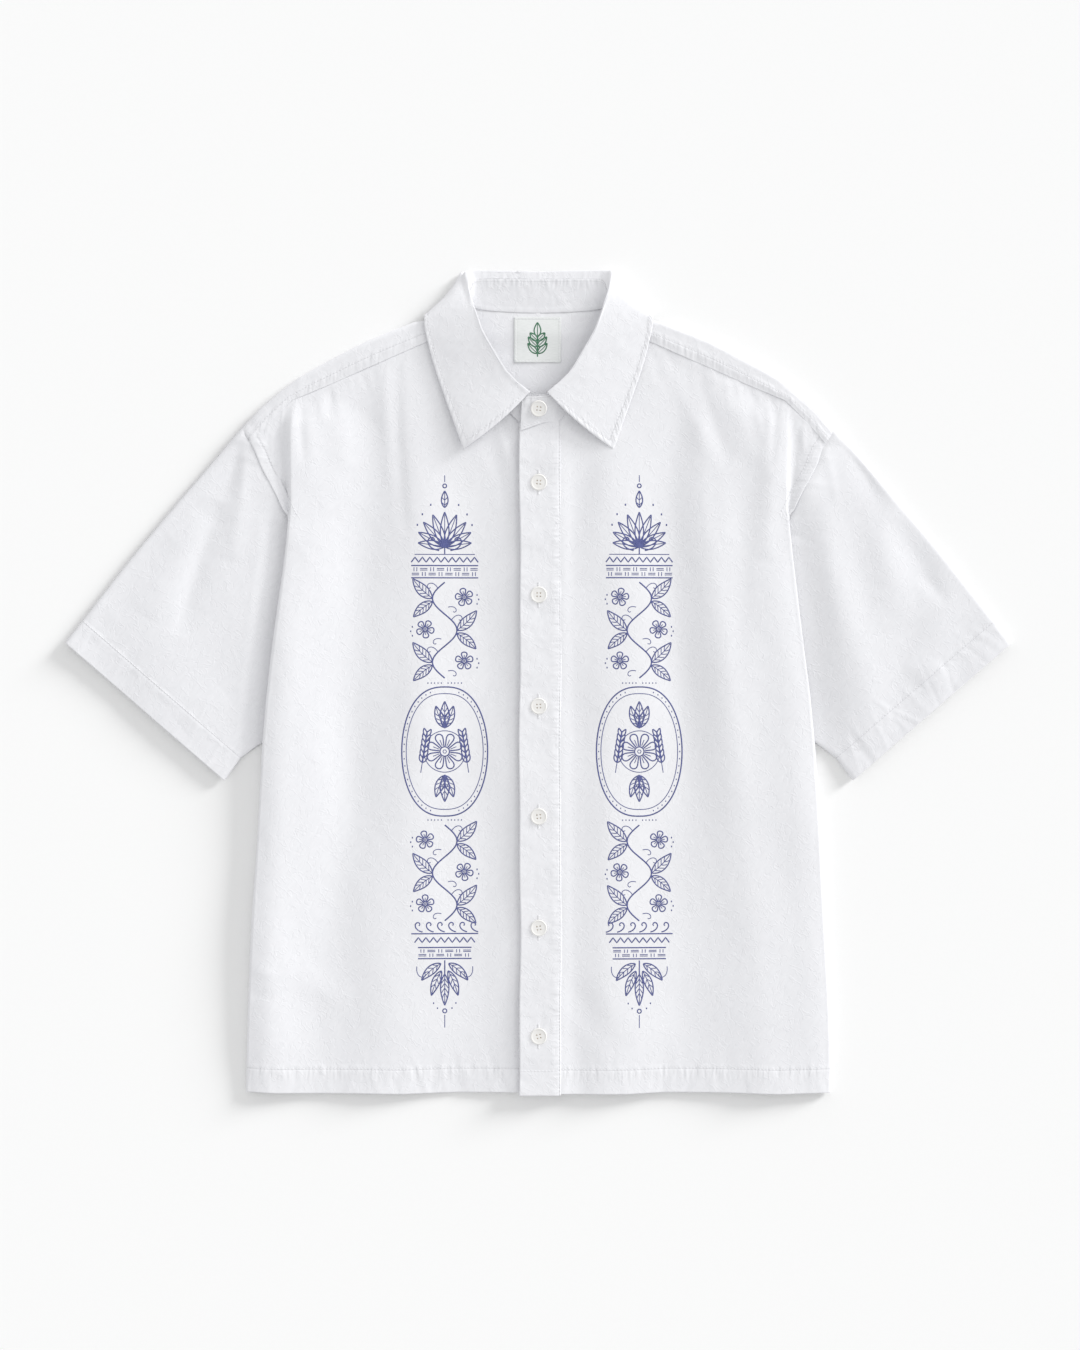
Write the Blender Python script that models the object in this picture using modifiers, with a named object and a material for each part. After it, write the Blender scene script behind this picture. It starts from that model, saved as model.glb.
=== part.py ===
"""Short-sleeved barong-style shirt, buttoned up and laid flat on its back.

Lengths in the tables are millimetres and become metres through MM. The origin lies on the
ground under the middle of the shirt, +Y runs to the collar and +X to the wearer's left.
Half tables hold the wearer's left side, and the right side mirrors them.
"""

import math
from collections import namedtuple

import bmesh
import bpy
from mathutils import Matrix, Vector

MM = 0.001
CLOTH = 1.2  # wall of one layer
SEAM_GAP = 0.3  # between pieces that are sewn together
PLY_GAP = 0.3  # between pieces that lie on each other

HEM_Y = -367.0
PLACKET_END_Y = -370.5
NECK_Y = 232.0  # where the placket meets the collar stand
YOKE_BACK_Y = 225.0
UNDERLAP = 15.0  # how far each front runs past the middle
PLACKET_EDGES = (-16.9, 20.2)

STAND_STRIP_CLOTH = 1.0
PLACKET_CLOTH = 1.4
PLACKET_LIFT = 0.6  # of its free edge

RIGHT_TOP_Z = 5.2
STAND_STRIP_TOP_Z = RIGHT_TOP_Z + PLY_GAP + STAND_STRIP_CLOTH
LEFT_TOP_Z = STAND_STRIP_TOP_Z + PLY_GAP + CLOTH
PLACKET_TOP_Z = LEFT_TOP_Z + PLY_GAP + PLACKET_CLOTH
SLEEVE_TOP_Z = 6.4
COLLAR_LIFT = 1.9  # the back of the yoke rides this high where the collar passes under it

ROLL_WIDTH = 8.0  # half of the soft roll along the side of the body
ROLL_SHARE = 0.8  # of the columns round that roll, the rest run flat to the seam
RISE_WIDTH = 75.0  # the front climbs to the roll over this width
CENTRE_FLAT = 24.0  # the front is level this far from the middle
CENTRE_FALL = 36.0  # and comes down to its resting height over this width
ROLL_FADE = 100.0  # above the armhole the roll dies away over this length
CALM_NECK = (180.0, 60.0, 60.0, 70.0)  # no creases under the collar: y and x where that starts, with widths
HEM_CALM = 25.0
FRONT_ROW_LENGTH = 28.0

BUTTON_RADIUS = 7.5
BUTTON_HEIGHT = 2.8
BUTTON_STEPS = 16
HOLE_RADIUS = 0.85
HOLE_RING = 1.7  # radius of the circle that the four holes lie on
BUTTON_X = 0.2
BUTTON_Y = (180.0, 79.2, -20.7, -119.7, -219.6, -316.8)
COLLAR_BUTTON_Y = 246.0

LABEL_CENTRE = (-0.9, 308.6)
LABEL_SIZE = (42.0, 40.6)
LABEL_CLOTH = 1.0

# edge_x is the outermost point of the body, seam_x and seam_z the side seam or armhole,
# crest_z the height of the roll just inside the edge.
Side = namedtuple("Side", "y edge_x seam_x seam_z crest_z")
SIDES = (
    Side(-367.0, 262.8, 252.8, 0.0, 9.4),
    Side(-312.0, 262.2, 252.2, 0.0, 11.0),
    Side(-231.0, 258.4, 248.0, 0.0, 12.6),
    Side(-150.0, 253.9, 243.4, 0.0, 13.6),
    Side(-96.0, 250.8, 240.4, 0.0, 14.4),
    Side(-80.0, 249.6, 238.6, 0.0, 14.6),
    Side(-66.0, 248.8, 233.4, 2.9, 14.8),
    Side(-54.0, 247.8, 228.2, 5.0, 15.0),
    Side(-42.0, 246.6, 224.0, 5.6, 15.2),
    Side(-15.0, 244.1, 214.0, 6.8, 15.2),
    Side(30.0, 238.7, 212.0, 7.0, 14.8),
    Side(75.0, 232.8, 214.0, 7.0, 14.2),
    Side(110.0, 228.5, 218.0, 7.0, 13.2),
    Side(130.0, 226.5, 221.4, 7.0, 12.4),
    Side(147.0, 225.0, 225.0, 7.6, 11.4),
)
# Where the front panel ends at the neck and the yoke, by its grid column.
Top = namedtuple("Top", "column x y z")
FRONT_TOPS = (
    Top(0, -UNDERLAP, 231.7, 0.0),
    Top(2, 17.0, 231.7, 0.0),
    Top(3, 34.0, 250.0, 0.0),
    Top(4, 50.0, 275.0, 0.8),
    Top(5, 62.0, 298.0, 1.4),
    Top(6, 72.0, 317.6, 1.8),
    Top(8, 104.0, 303.7, 1.9),
    Top(11, 145.0, 285.7, 2.0),
    Top(14, 184.0, 268.3, 2.2),
    Top(17, 216.0, 255.2, 2.4),
    Top(18, 220.9, 252.7, 2.4),
    Top(21, 239.7, 234.0, 2.5),
    Top(24, 257.2, 213.8, 2.6),
)
FLAT_COLUMNS = 18
SKIRT_COLUMNS = 6
YOKE_ROWS = 6  # rows of the front above the visible end of the armhole
YOKE_SIDE_RISE = 1.6  # how early those rows reach the yoke's height beyond the roll
ARMHOLE_EDGE_Z = SLEEVE_TOP_Z + CLOTH + 0.2

ArmPoint = namedtuple("ArmPoint", "x y")
ARMHOLE = (
    ArmPoint(267.6, 227.3),
    ArmPoint(258.0, 213.9),
    ArmPoint(249.0, 193.5),
    ArmPoint(235.8, 169.0),
    ArmPoint(225.5, 147.0),
    ArmPoint(218.0, 110.0),
    ArmPoint(214.0, 75.0),
    ArmPoint(212.0, 30.0),
    ArmPoint(214.0, -15.0),
    ArmPoint(224.0, -42.0),
)
CUFF_TOP = ArmPoint(425.0, 36.0)
CUFF_BOTTOM = ArmPoint(282.0, -88.0)
SLEEVE_BULGE = (2.4, 2.0)  # how far the long edges bow out half way down
SLEEVE_RINGS = 12
SLEEVE_STATIONS = (
    0.0, 0.008, 0.025, 0.06, 0.13, 0.22, 0.32, 0.43, 0.54, 0.65, 0.76, 0.86, 0.94, 0.98, 1.0,
)
SLEEVE_START = 0.0016  # share of the sleeve's length left as the gap at the armhole
SLEEVE_HEAD_GIRTH = 290.0
SLEEVE_CLEAR = (6.0, 24.0)  # no creases this close to the body, and the width over which they start
SLEEVE_EDGE = 5.0  # radius of the fold along each long edge
UNDERARM_DIP = 3.0
UNDERARM_REACH = 45.0

# The front edge of the yoke, the shoulder line above it and the back seam below it.
Yoke = namedtuple("Yoke", "start_x start_y start_z ridge_x ridge_y ridge_z end_x end_y wrap")
YOKES = (
    Yoke(0.0, 330.4, 1.9, 0.0, 290.0, 0.0, 0.0, 225.3, 0),
    Yoke(30.0, 331.2, 1.9, 29.0, 290.0, 0.0, 28.0, 225.3, 0),
    Yoke(55.0, 333.4, 1.9, 53.0, 290.0, 0.0, 51.0, 225.3, 0),
    Yoke(66.0, 334.4, 2.0, 65.0, 300.0, 0.0, 65.0, 225.3, 0),
    Yoke(73.2, 324.0, 8.3, 73.6, 334.4, 8.3, 78.0, 225.3, 1),
    Yoke(76.0, 317.0, 8.3, 80.0, 331.6, 8.3, 86.0, 225.3, 1),
    Yoke(90.0, 310.6, 8.3, 96.0, 326.6, 8.3, 100.0, 225.3, 1),
    Yoke(104.2, 304.5, 8.3, 111.0, 324.4, 8.3, 114.0, 225.3, 1),
    Yoke(124.0, 295.7, 8.3, 132.0, 316.4, 8.3, 134.0, 225.3, 1),
    Yoke(145.2, 286.4, 8.3, 154.0, 307.4, 8.3, 156.0, 225.3, 1),
    Yoke(164.7, 277.8, 8.4, 174.0, 297.4, 8.4, 178.0, 225.3, 1),
    Yoke(184.2, 269.0, 8.5, 194.0, 286.6, 8.5, 200.0, 225.3, 1),
    Yoke(203.0, 261.2, 8.6, 215.5, 274.5, 8.4, 220.0, 225.3, 1),
    Yoke(221.5, 253.5, 8.6, 232.0, 262.0, 8.0, 236.0, 225.3, 1),
    Yoke(240.2, 234.9, 8.4, 251.0, 245.6, 7.4, 252.0, 225.3, 1),
    Yoke(257.7, 214.6, 8.2, 266.9, 227.2, 6.8, 265.6, 225.6, 1),
)
YOKE_BREAKS = (0.0, 0.5, 1.0)
# The fold over the shoulder: distance from the ridge and share of the height.
YOKE_ROLL = ((4.0, 1.0), (1.2, 0.86), (0.0, 0.5), (1.2, 0.14), (4.0, 0.0))
YOKE_BACK_BREAKS = (0.12, 0.3, 0.6, 1.0)
YOKE_FLAT_STEP = 0.04  # spacing of the same rows where the yoke does not wrap over

# Half of the collar from the front edge round to the back: the stand's foot on the neck seam,
# the seam between stand and leaf, the fold, the middle of the leaf and the leaf's free edge.
Collar = namedtuple("Collar", "foot seam fold middle edge")
COLLARS = (
    Collar((9.0, 233.9, 7.6), (9.6, 258.6, 11.8), (7.4, 260.6, 16.4),
           (36.5, 232.6, 15.0), (67.5, 209.5, 8.8)),
    Collar((17.0, 234.0, 7.6), (18.4, 266.2, 12.6), (13.8, 265.6, 16.8),
           (43.0, 242.0, 14.8), (72.0, 222.0, 8.9)),
    Collar((32.6, 251.4, 7.4), (26.0, 272.0, 13.6), (20.6, 271.6, 17.0),
           (50.0, 253.0, 14.4), (77.0, 236.0, 9.2)),
    Collar((41.0, 263.6, 7.6), (33.6, 280.8, 14.2), (28.4, 279.6, 17.4),
           (57.0, 263.0, 14.2), (82.4, 251.0, 9.5)),
    Collar((48.4, 276.2, 8.0), (39.6, 290.0, 14.6), (34.4, 289.2, 17.8),
           (63.0, 276.0, 14.2), (87.6, 266.0, 9.8)),
    Collar((54.6, 287.6, 8.4), (44.6, 299.2, 15.0), (39.8, 298.2, 17.9),
           (68.0, 287.6, 14.0), (92.4, 280.0, 10.1)),
    Collar((60.4, 299.0, 8.8), (50.6, 309.6, 15.2), (45.6, 308.2, 18.2),
           (73.0, 300.0, 14.2), (96.6, 294.0, 10.6)),
    Collar((65.4, 309.2, 9.2), (55.0, 318.8, 15.2), (50.4, 317.6, 18.3),
           (77.4, 312.0, 14.2), (100.0, 308.0, 10.8)),
    Collar((69.6, 319.4, 9.6), (59.6, 328.4, 15.0), (55.0, 330.6, 18.2),
           (80.6, 326.4, 14.0), (102.4, 318.6, 11.0)),
    Collar((70.6, 327.6, 9.8), (61.4, 336.6, 14.6), (57.8, 338.4, 17.6),
           (82.4, 337.0, 13.2), (102.9, 327.4, 10.4)),
    Collar((70.2, 333.4, 9.8), (62.2, 343.0, 13.8), (60.2, 345.4, 16.6),
           (84.6, 343.2, 11.0), (102.4, 330.4, 4.6)),
    Collar((69.0, 338.0, 9.0), (62.2, 348.8, 12.4), (62.4, 352.0, 15.2),
           (83.6, 347.8, 8.0), (97.4, 327.0, 0.0)),
    Collar((66.0, 340.0, 7.4), (61.0, 354.4, 10.6), (64.2, 359.6, 12.8),
           (77.6, 355.2, 4.6), (88.0, 324.0, 0.0)),
    Collar((62.4, 338.6, 5.6), (58.8, 359.8, 8.2), (65.7, 368.6, 8.8),
           (71.6, 363.4, 1.4), (78.0, 322.4, 0.0)),
    Collar((56.8, 335.6, 4.2), (54.4, 362.4, 6.0), (60.6, 370.4, 4.6),
           (60.4, 363.2, 0.0), (64.0, 322.0, 0.0)),
    Collar((44.0, 333.4, 3.8), (44.0, 363.0, 5.4), (45.0, 370.5, 3.2),
           (44.0, 362.4, 0.0), (46.0, 322.0, 0.0)),
    Collar((22.0, 332.0, 3.6), (22.0, 363.0, 5.2), (22.0, 370.2, 2.9),
           (22.0, 362.0, 0.0), (23.0, 322.0, 0.0)),
    Collar((0.0, 331.4, 3.6), (0.0, 362.8, 5.2), (0.0, 369.7, 2.8),
           (0.0, 361.4, 0.0), (0.0, 322.0, 0.0)),
)
LEAF_FOLD_STEPS = (0.0, 0.2, 0.4, 0.6, 0.8, 1.0)
LEAF_FALL_STEPS = (0.25, 0.5, 0.75, 1.0)
LEAF_FOLD_REACH = 5.0  # the fold blends into the leaf over this length
STAND_SHORT = 1.6  # the stand stops this far below the seam points, clear of the turning leaf
STAND_LAP = 1.25  # half the step between the crossing ends of the stand
StandEnd = namedtuple("StandEnd", "foot seam")
STAND_ENDS = (
    StandEnd((-16.6, 233.9, 7.6), (-15.0, 255.4, 12.0)),
    StandEnd((-9.0, 233.9, 7.6), (-9.0, 258.4, 12.6)),
    StandEnd((0.0, 233.9, 7.6), (0.0, 258.8, 12.6)),
)
STAND_ROWS = 3

# Soft ridges (height above zero) and troughs (below zero) as straight creases.
Crease = namedtuple("Crease", "x0 y0 x1 y1 width height")
RIGHT_FRONT_CREASES = (
    Crease(-221.0, 252.0, -224.0, 160.0, 11.0, 3.2),
    Crease(-203.0, 240.0, -206.0, 175.0, 9.0, 1.6),
    Crease(-181.0, 250.0, -172.0, 190.0, 10.0, 1.4),
    Crease(-122.0, 296.0, -126.0, 150.0, 12.0, -1.5),
    Crease(-108.0, 285.0, -110.0, 165.0, 10.0, 1.3),
    Crease(-150.0, -90.0, -148.0, -350.0, 16.0, -1.3),
    Crease(-205.0, 60.0, -180.0, -60.0, 20.0, 1.2),
    Crease(-60.0, 60.0, -46.0, -120.0, 18.0, 1.0),
    Crease(-236.0, -250.0, -170.0, -290.0, 14.0, 1.2),
)
LEFT_FRONT_CREASES = (
    Crease(218.0, 250.0, 224.0, 160.0, 11.0, 3.4),
    Crease(175.0, 262.0, 195.0, 195.0, 11.0, 1.8),
    Crease(142.0, 280.0, 171.0, 190.0, 12.0, -1.5),
    Crease(116.0, 288.0, 160.0, 190.0, 12.0, 1.5),
    Crease(160.0, -147.0, 261.0, -332.0, 16.0, -1.6),
    Crease(186.0, -130.0, 240.0, -270.0, 16.0, 1.6),
    Crease(25.0, -265.0, 74.0, -335.0, 12.0, -1.0),
    Crease(150.0, -160.0, 150.0, -340.0, 22.0, -1.0),
    Crease(196.0, 70.0, 176.0, -60.0, 20.0, 1.2),
)
RIGHT_SLEEVE_CREASES = (
    Crease(-267.0, 216.0, -286.0, 164.0, 10.0, -1.6),
    Crease(-286.0, 164.0, -324.0, 43.0, 13.0, -1.9),
    Crease(-262.0, 195.0, -276.0, 110.0, 10.0, 1.8),
    Crease(-300.0, 150.0, -352.0, 60.0, 16.0, 1.6),
    Crease(-330.0, 130.0, -390.0, 70.0, 14.0, -1.2),
    Crease(-282.0, -20.0, -320.0, -40.0, 12.0, 1.2),
)
LEFT_SLEEVE_CREASES = (
    Crease(269.0, 221.0, 314.0, 151.0, 11.0, -1.7),
    Crease(314.0, 151.0, 366.0, 72.0, 13.0, -1.7),
    Crease(261.0, 205.0, 275.0, 158.0, 10.0, 2.0),
    Crease(251.0, 202.0, 235.0, 110.0, 9.0, -1.2),
    Crease(280.0, 150.0, 318.0, 50.0, 15.0, 1.6),
    Crease(330.0, 20.0, 372.0, -4.0, 12.0, 1.4),
    Crease(270.0, 30.0, 300.0, -60.0, 14.0, -1.2),
)

LEFT, RIGHT = 1.0, -1.0

Finish = namedtuple("Finish", "name colour roughness")
COTTON = Finish("white cotton", (0.86, 0.86, 0.875, 1.0), 0.85)
PEARL = Finish("button pearl", (0.88, 0.87, 0.84, 1.0), 0.3)
LABEL_SATIN = Finish("label satin", (0.80, 0.81, 0.80, 1.0), 0.6)


def ease(amount):
    """A smooth step from 0 to 1."""
    amount = min(max(amount, 0.0), 1.0)
    return amount * amount * (3.0 - 2.0 * amount)


def blend(start, end, amount):
    return start + (end - start) * amount


def look_up(rows, key, value, wanted):
    """The wanted column of a table at this value of its key column, straight between rows."""
    first = rows[0]
    rising = getattr(rows[-1], key) > getattr(first, key)
    for row in rows[1:]:
        low, high = getattr(first, key), getattr(row, key)
        if (value <= high) == rising or row is rows[-1]:
            amount = min(max((value - low) / (high - low), 0.0), 1.0)
            return blend(getattr(first, wanted), getattr(row, wanted), amount)
        first = row


def along(points, amount):
    """The point at this share of a polyline's length."""
    lengths = [math.dist(a, b) for a, b in zip(points, points[1:])]
    left = amount * sum(lengths)
    for (a, b), length in zip(zip(points, points[1:]), lengths):
        if left <= length:
            return [blend(p, q, left / length) for p, q in zip(a, b)]
        left -= length
    return list(points[-1])


def crease_height(creases, x, y):
    """What the creases add to the height here: a rounded ridge each, fading at its ends."""
    total = 0.0
    for crease in creases:
        run_x, run_y = crease.x1 - crease.x0, crease.y1 - crease.y0
        length = math.hypot(run_x, run_y)
        share = ((x - crease.x0) * run_x + (y - crease.y0) * run_y) / length**2
        aside = ((x - crease.x0) * run_y - (y - crease.y0) * run_x) / length
        fade = math.sin(math.pi * share) ** 0.6 if 0.0 < share < 1.0 else 0.0
        total += crease.height * fade * math.exp(-((aside / crease.width) ** 2))
    return total


def finish_material(finish):
    material = bpy.data.materials.get(finish.name) or bpy.data.materials.new(finish.name)
    material.use_nodes = True
    shader = material.node_tree.nodes["Principled BSDF"]
    shader.inputs["Base Color"].default_value = finish.colour
    shader.inputs["Roughness"].default_value = finish.roughness
    shader.inputs["Metallic"].default_value = 0.0
    return material


def add_object(name, data, collection, finish):
    piece = bpy.data.objects.new(name, data)
    collection.objects.link(piece)
    data.materials.append(finish_material(finish))
    return piece


def add_wall(piece, thickness):
    """Gives an open surface its wall, on the side away from its normals."""
    wall = piece.modifiers.new("wall", "SOLIDIFY")
    wall.thickness = thickness * MM
    wall.offset = -1.0
    wall.use_even_offset = False
    return wall


def grid_piece(name, columns, rows, place, collection, finish, thickness=CLOTH, closed=False):
    """A cloth piece from a grid whose point (column, row) goes to place(column, row)."""
    mesh = bpy.data.meshes.new(name)
    grid = bmesh.new()
    bmesh.ops.create_grid(grid, x_segments=columns, y_segments=rows, size=1.0)
    for vertex in grid.verts:
        column = round((vertex.co.x + 1.0) / 2.0 * columns)
        row = round((vertex.co.y + 1.0) / 2.0 * rows)
        vertex.co = Vector(place(column, row)) * MM
    if closed:
        bmesh.ops.remove_doubles(grid, verts=grid.verts, dist=0.00001)
    grid.to_mesh(mesh)
    grid.free()
    mesh.shade_smooth()
    piece = add_object(name, mesh, collection, finish)
    add_wall(piece, thickness)
    return piece


def turn_over(piece):
    """Turns every face of a grid round, for a piece whose columns run the other way."""
    mesh = bmesh.new()
    mesh.from_mesh(piece.data)
    bmesh.ops.reverse_faces(mesh, faces=mesh.faces)
    mesh.to_mesh(piece.data)
    mesh.free()


# Body


def front_skirt(row, part):
    """The roll at the side in one section: over the edge, down and under to the seam."""
    centre = row.edge_x - ROLL_WIDTH
    middle, reach = (row.crest_z + row.seam_z) / 2.0, (row.crest_z - row.seam_z) / 2.0
    share = part / SKIRT_COLUMNS
    turn = math.pi * (0.5 - min(share / ROLL_SHARE, 1.0))
    x = centre + ROLL_WIDTH * math.cos(turn)
    z = middle + reach * math.sin(turn)
    if share > ROLL_SHARE:
        x = blend(centre, row.seam_x + SEAM_GAP, (share - ROLL_SHARE) / (1.0 - ROLL_SHARE))
    return x, z


def side_row(y):
    """The side table at this height up the body."""
    return Side(y, *(look_up(SIDES, "y", y, wanted) for wanted in Side._fields[1:]))


def front_height(x, y, base, centre_z, creases, side):
    """Height of a front's outer face, x counted from the middle towards its own side."""
    row = side_row(min(y, SIDES[-1].y))
    z = base + (centre_z - base) * (1.0 - ease((x - CENTRE_FLAT) / CENTRE_FALL))
    rise = ease((x - row.edge_x + ROLL_WIDTH + RISE_WIDTH) / RISE_WIDTH)
    fade = 1.0 - ease((y - SIDES[-1].y) / ROLL_FADE)
    z += (row.crest_z - base) * rise * fade
    neck_y, neck_length, neck_x, neck_width = CALM_NECK
    near_neck = ease((y - neck_y) / neck_length) * (1.0 - ease((x - neck_x) / neck_width))
    edge = ease((y - HEM_Y) / HEM_CALM)
    return z + crease_height(creases, side * x, y) * (1.0 - near_neck) * (0.4 + 0.6 * edge)


def make_front(name, side, centre_z, creases, collection):
    base = RIGHT_TOP_Z
    lower_rows = []
    for low, high in zip(SIDES, SIDES[1:]):
        parts = max(1, round((high.y - low.y) / FRONT_ROW_LENGTH))
        lower_rows += [blend(low.y, high.y, part / parts) for part in range(parts)]
    lower_rows.append(SIDES[-1].y)
    last = len(lower_rows) - 1

    def lower(column, y):
        row = side_row(y)
        if column <= FLAT_COLUMNS:
            x = blend(-UNDERLAP, row.edge_x - ROLL_WIDTH, column / FLAT_COLUMNS)
            return x, y, front_height(x, y, base, centre_z, creases, side)
        x, z = front_skirt(row, column - FLAT_COLUMNS)
        crest = front_height(row.edge_x - ROLL_WIDTH, y, base, centre_z, creases, side)
        share = (column - FLAT_COLUMNS) / SKIRT_COLUMNS
        return x, y, z + (crest - row.crest_z) * max(0.0, 1.0 - 2.0 * share)

    def place(column, row):
        if row <= last:
            x, y, z = lower(column, lower_rows[row])
        else:
            share = (row - last) / YOKE_ROWS
            x0, y0, z0 = lower(column, lower_rows[last])
            outer = max(0.0, (column - FLAT_COLUMNS) / SKIRT_COLUMNS)
            roll_x = SIDES[-1].edge_x - ROLL_WIDTH
            if outer:
                x0 = blend(roll_x, SIDES[-1].edge_x, outer)
            x1, y1, rise = (look_up(FRONT_TOPS, "column", column, key) for key in ("x", "y", "z"))
            x, y = blend(x0, x1, share), blend(y0, y1, share)
            level = front_height(min(x, roll_x - 1.0), y, base, centre_z, creases, side)
            top = blend(centre_z, base + rise, ease((x1 - CENTRE_FLAT) / CENTRE_FALL))
            z = blend(level, top, ease(share))
            if outer:
                z = blend(z0, z, ease(share * YOKE_SIDE_RISE))
                z = min(z, blend(z, ARMHOLE_EDGE_Z, outer))
        return side * x, y, z

    columns = FLAT_COLUMNS + SKIRT_COLUMNS
    piece = grid_piece(name, columns, last + YOKE_ROWS, place, collection, COTTON)
    if side == RIGHT:
        turn_over(piece)
    return piece


def back_outline():
    """Half of the back panel, from the middle of the hem round to the middle of the yoke seam."""
    outline = [(0.0, HEM_Y)]
    outline += [(row.seam_x, row.y) for row in SIDES if row.y <= ARMHOLE[-1].y]
    outline += [(point.x, point.y) for point in reversed(ARMHOLE[2:-1])]
    outline += [(257.8, 213.9), (265.2, YOKE_BACK_Y), (0.0, YOKE_BACK_Y)]
    return outline


def make_back(collection):
    half = back_outline()
    outline = half[:-1] + [(-x, y) for x, y in reversed(half[1:-1])]
    curve = bpy.data.curves.new("back", "CURVE")
    curve.dimensions = "2D"
    curve.fill_mode = "BOTH"
    curve.extrude = CLOTH / 2.0 * MM
    line = curve.splines.new("POLY")
    line.points.add(len(outline) - 1)
    for point, (x, y) in zip(line.points, outline):
        inset = SEAM_GAP / 2.0 if x > 0.0 else -SEAM_GAP / 2.0 if x < 0.0 else 0.0
        point.co = ((x - inset) * MM, y * MM, 0.0, 1.0)
    line.use_cyclic_u = True
    piece = add_object("back", curve, collection, COTTON)
    piece.location.z = CLOTH / 2.0 * MM
    return piece


def yoke_lift(x, y):
    """How far the yoke's back rides up over the collar that is folded under it."""
    return COLLAR_LIFT * ease((y - 296.0) / 20.0) * ease((122.0 - abs(x)) / 12.0)


def yoke_path(row):
    """One section of the yoke: up the front, over the shoulder and down the back."""
    start = (row.start_x, row.start_y)
    ridge = (row.ridge_x, row.ridge_y)
    end = (row.end_x, row.end_y)
    path = []
    if not row.wrap:
        shares = [YOKE_FLAT_STEP * step for step in range(len(YOKE_BREAKS) + len(YOKE_ROLL) - 1)]
        shares += [blend(shares[-1], 1.0, share) for share in YOKE_BACK_BREAKS]
        for share in shares:
            x, y = blend(start[0], end[0], share), blend(start[1], end[1], share)
            path.append((x, y, yoke_lift(x, y)))
        return path
    length = math.dist(start, ridge)
    for share in YOKE_BREAKS[:-1]:
        reach = share * (length - YOKE_ROLL[0][0]) / length
        x, y = blend(start[0], ridge[0], reach), blend(start[1], ridge[1], reach)
        path.append((x, y, blend(row.start_z, row.ridge_z, reach)))
    floor = yoke_lift(*ridge)
    back_length = max(math.dist(ridge, end), 0.1)
    for index, (inset, height) in enumerate(YOKE_ROLL):
        target, run = (start, length) if index < 2 else (end, back_length)
        share = min(inset / run, 0.6)
        x, y = blend(ridge[0], target[0], share), blend(ridge[1], target[1], share)
        path.append((x, y, blend(floor, row.ridge_z, height)))
    inset = min(YOKE_ROLL[-1][0] / back_length, 0.6)
    for share in YOKE_BACK_BREAKS:
        reach = blend(inset, 1.0, share)
        x, y = blend(ridge[0], end[0], reach), blend(ridge[1], end[1], reach)
        path.append((x, y, yoke_lift(x, y)))
    return path


def make_yoke(collection):
    paths = [yoke_path(row) for row in YOKES]
    half = len(paths) - 1

    def place(column, row):
        x, y, z = paths[abs(column - half)][row]
        return (x if column >= half else -x), y, z

    grid_piece("yoke", 2 * half, len(paths[0]) - 1, place, collection, COTTON)


# Sleeves


def sleeve_height(x, y, creases, side):
    """Height of the sleeve's upper face, lower at the underarm and plain beside the body."""
    underarm = math.dist((x, y), ARMHOLE[-1])
    z = SLEEVE_TOP_Z - UNDERARM_DIP * math.exp(-((underarm / UNDERARM_REACH) ** 2))
    clear = ease((x - side_row(min(y, SIDES[-1].y)).edge_x - SLEEVE_CLEAR[0]) / SLEEVE_CLEAR[1])
    return z + crease_height(creases, side * x, y) * clear


def make_sleeve(name, side, creases, collection):
    around = 2 * (len(SLEEVE_STATIONS) - 1)

    def place(column, ring):
        upper = column <= around // 2
        station = SLEEVE_STATIONS[column if upper else around - column]
        share = blend(SLEEVE_START, 1.0, ring / SLEEVE_RINGS)
        x0, y0 = along(ARMHOLE, station)
        x1, y1 = along((CUFF_TOP, CUFF_BOTTOM), station)
        bow = 4.0 * share * (1.0 - share)
        x = blend(x0, x1, share) + SLEEVE_BULGE[0] * bow
        y = blend(y0, y1, share) + SLEEVE_BULGE[1] * bow
        girth = blend(SLEEVE_HEAD_GIRTH, math.dist(CUFF_TOP, CUFF_BOTTOM), share)
        inset = min(station, 1.0 - station) * girth
        round_off = math.sqrt(max(0.0, 1.0 - (1.0 - min(inset / SLEEVE_EDGE, 1.0)) ** 2))
        top = sleeve_height(x, y, creases, side)
        underarm_fold = station > 0.5 and inset < SLEEVE_EDGE
        middle = (top if underarm_fold else SLEEVE_TOP_Z) / 2.0
        z = blend(middle, top, round_off) if upper else blend(middle, 0.0, round_off)
        return side * x, y, z

    piece = grid_piece(name, around, SLEEVE_RINGS, place, collection, COTTON, closed=True)
    if side == RIGHT:
        turn_over(piece)


# Collar


def stand_lap(index, side):
    """The left end of the stand lies on the right one: what a section rises, counted from the end."""
    return side * STAND_LAP * (1.0 - ease((index - 2.0) / 4.0))


def leaf_section(row, lap):
    """The outer face of the collar leaf in one section, from the stand over the fold to the edge."""
    seam, fold, middle, edge = (Vector(point) for point in (row.seam, row.fold, row.middle, row.edge))
    seam.z += lap
    fold.z += lap * 0.7
    start = fold + (middle - fold).normalized() * LEAF_FOLD_REACH
    pull = (8.0 * fold - seam - start) / 6.0
    points = []
    for t in LEAF_FOLD_STEPS:
        points.append((1 - t) ** 3 * seam + 3 * t * (1 - t) * pull + t**3 * start)
    bend = 2.0 * middle - (start + edge) / 2.0
    for t in LEAF_FALL_STEPS:
        point = (1 - t) ** 2 * start + 2 * t * (1 - t) * bend + t**2 * edge
        points.append(Vector((point.x, point.y, max(point.z, 0.0))))
    return points


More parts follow.
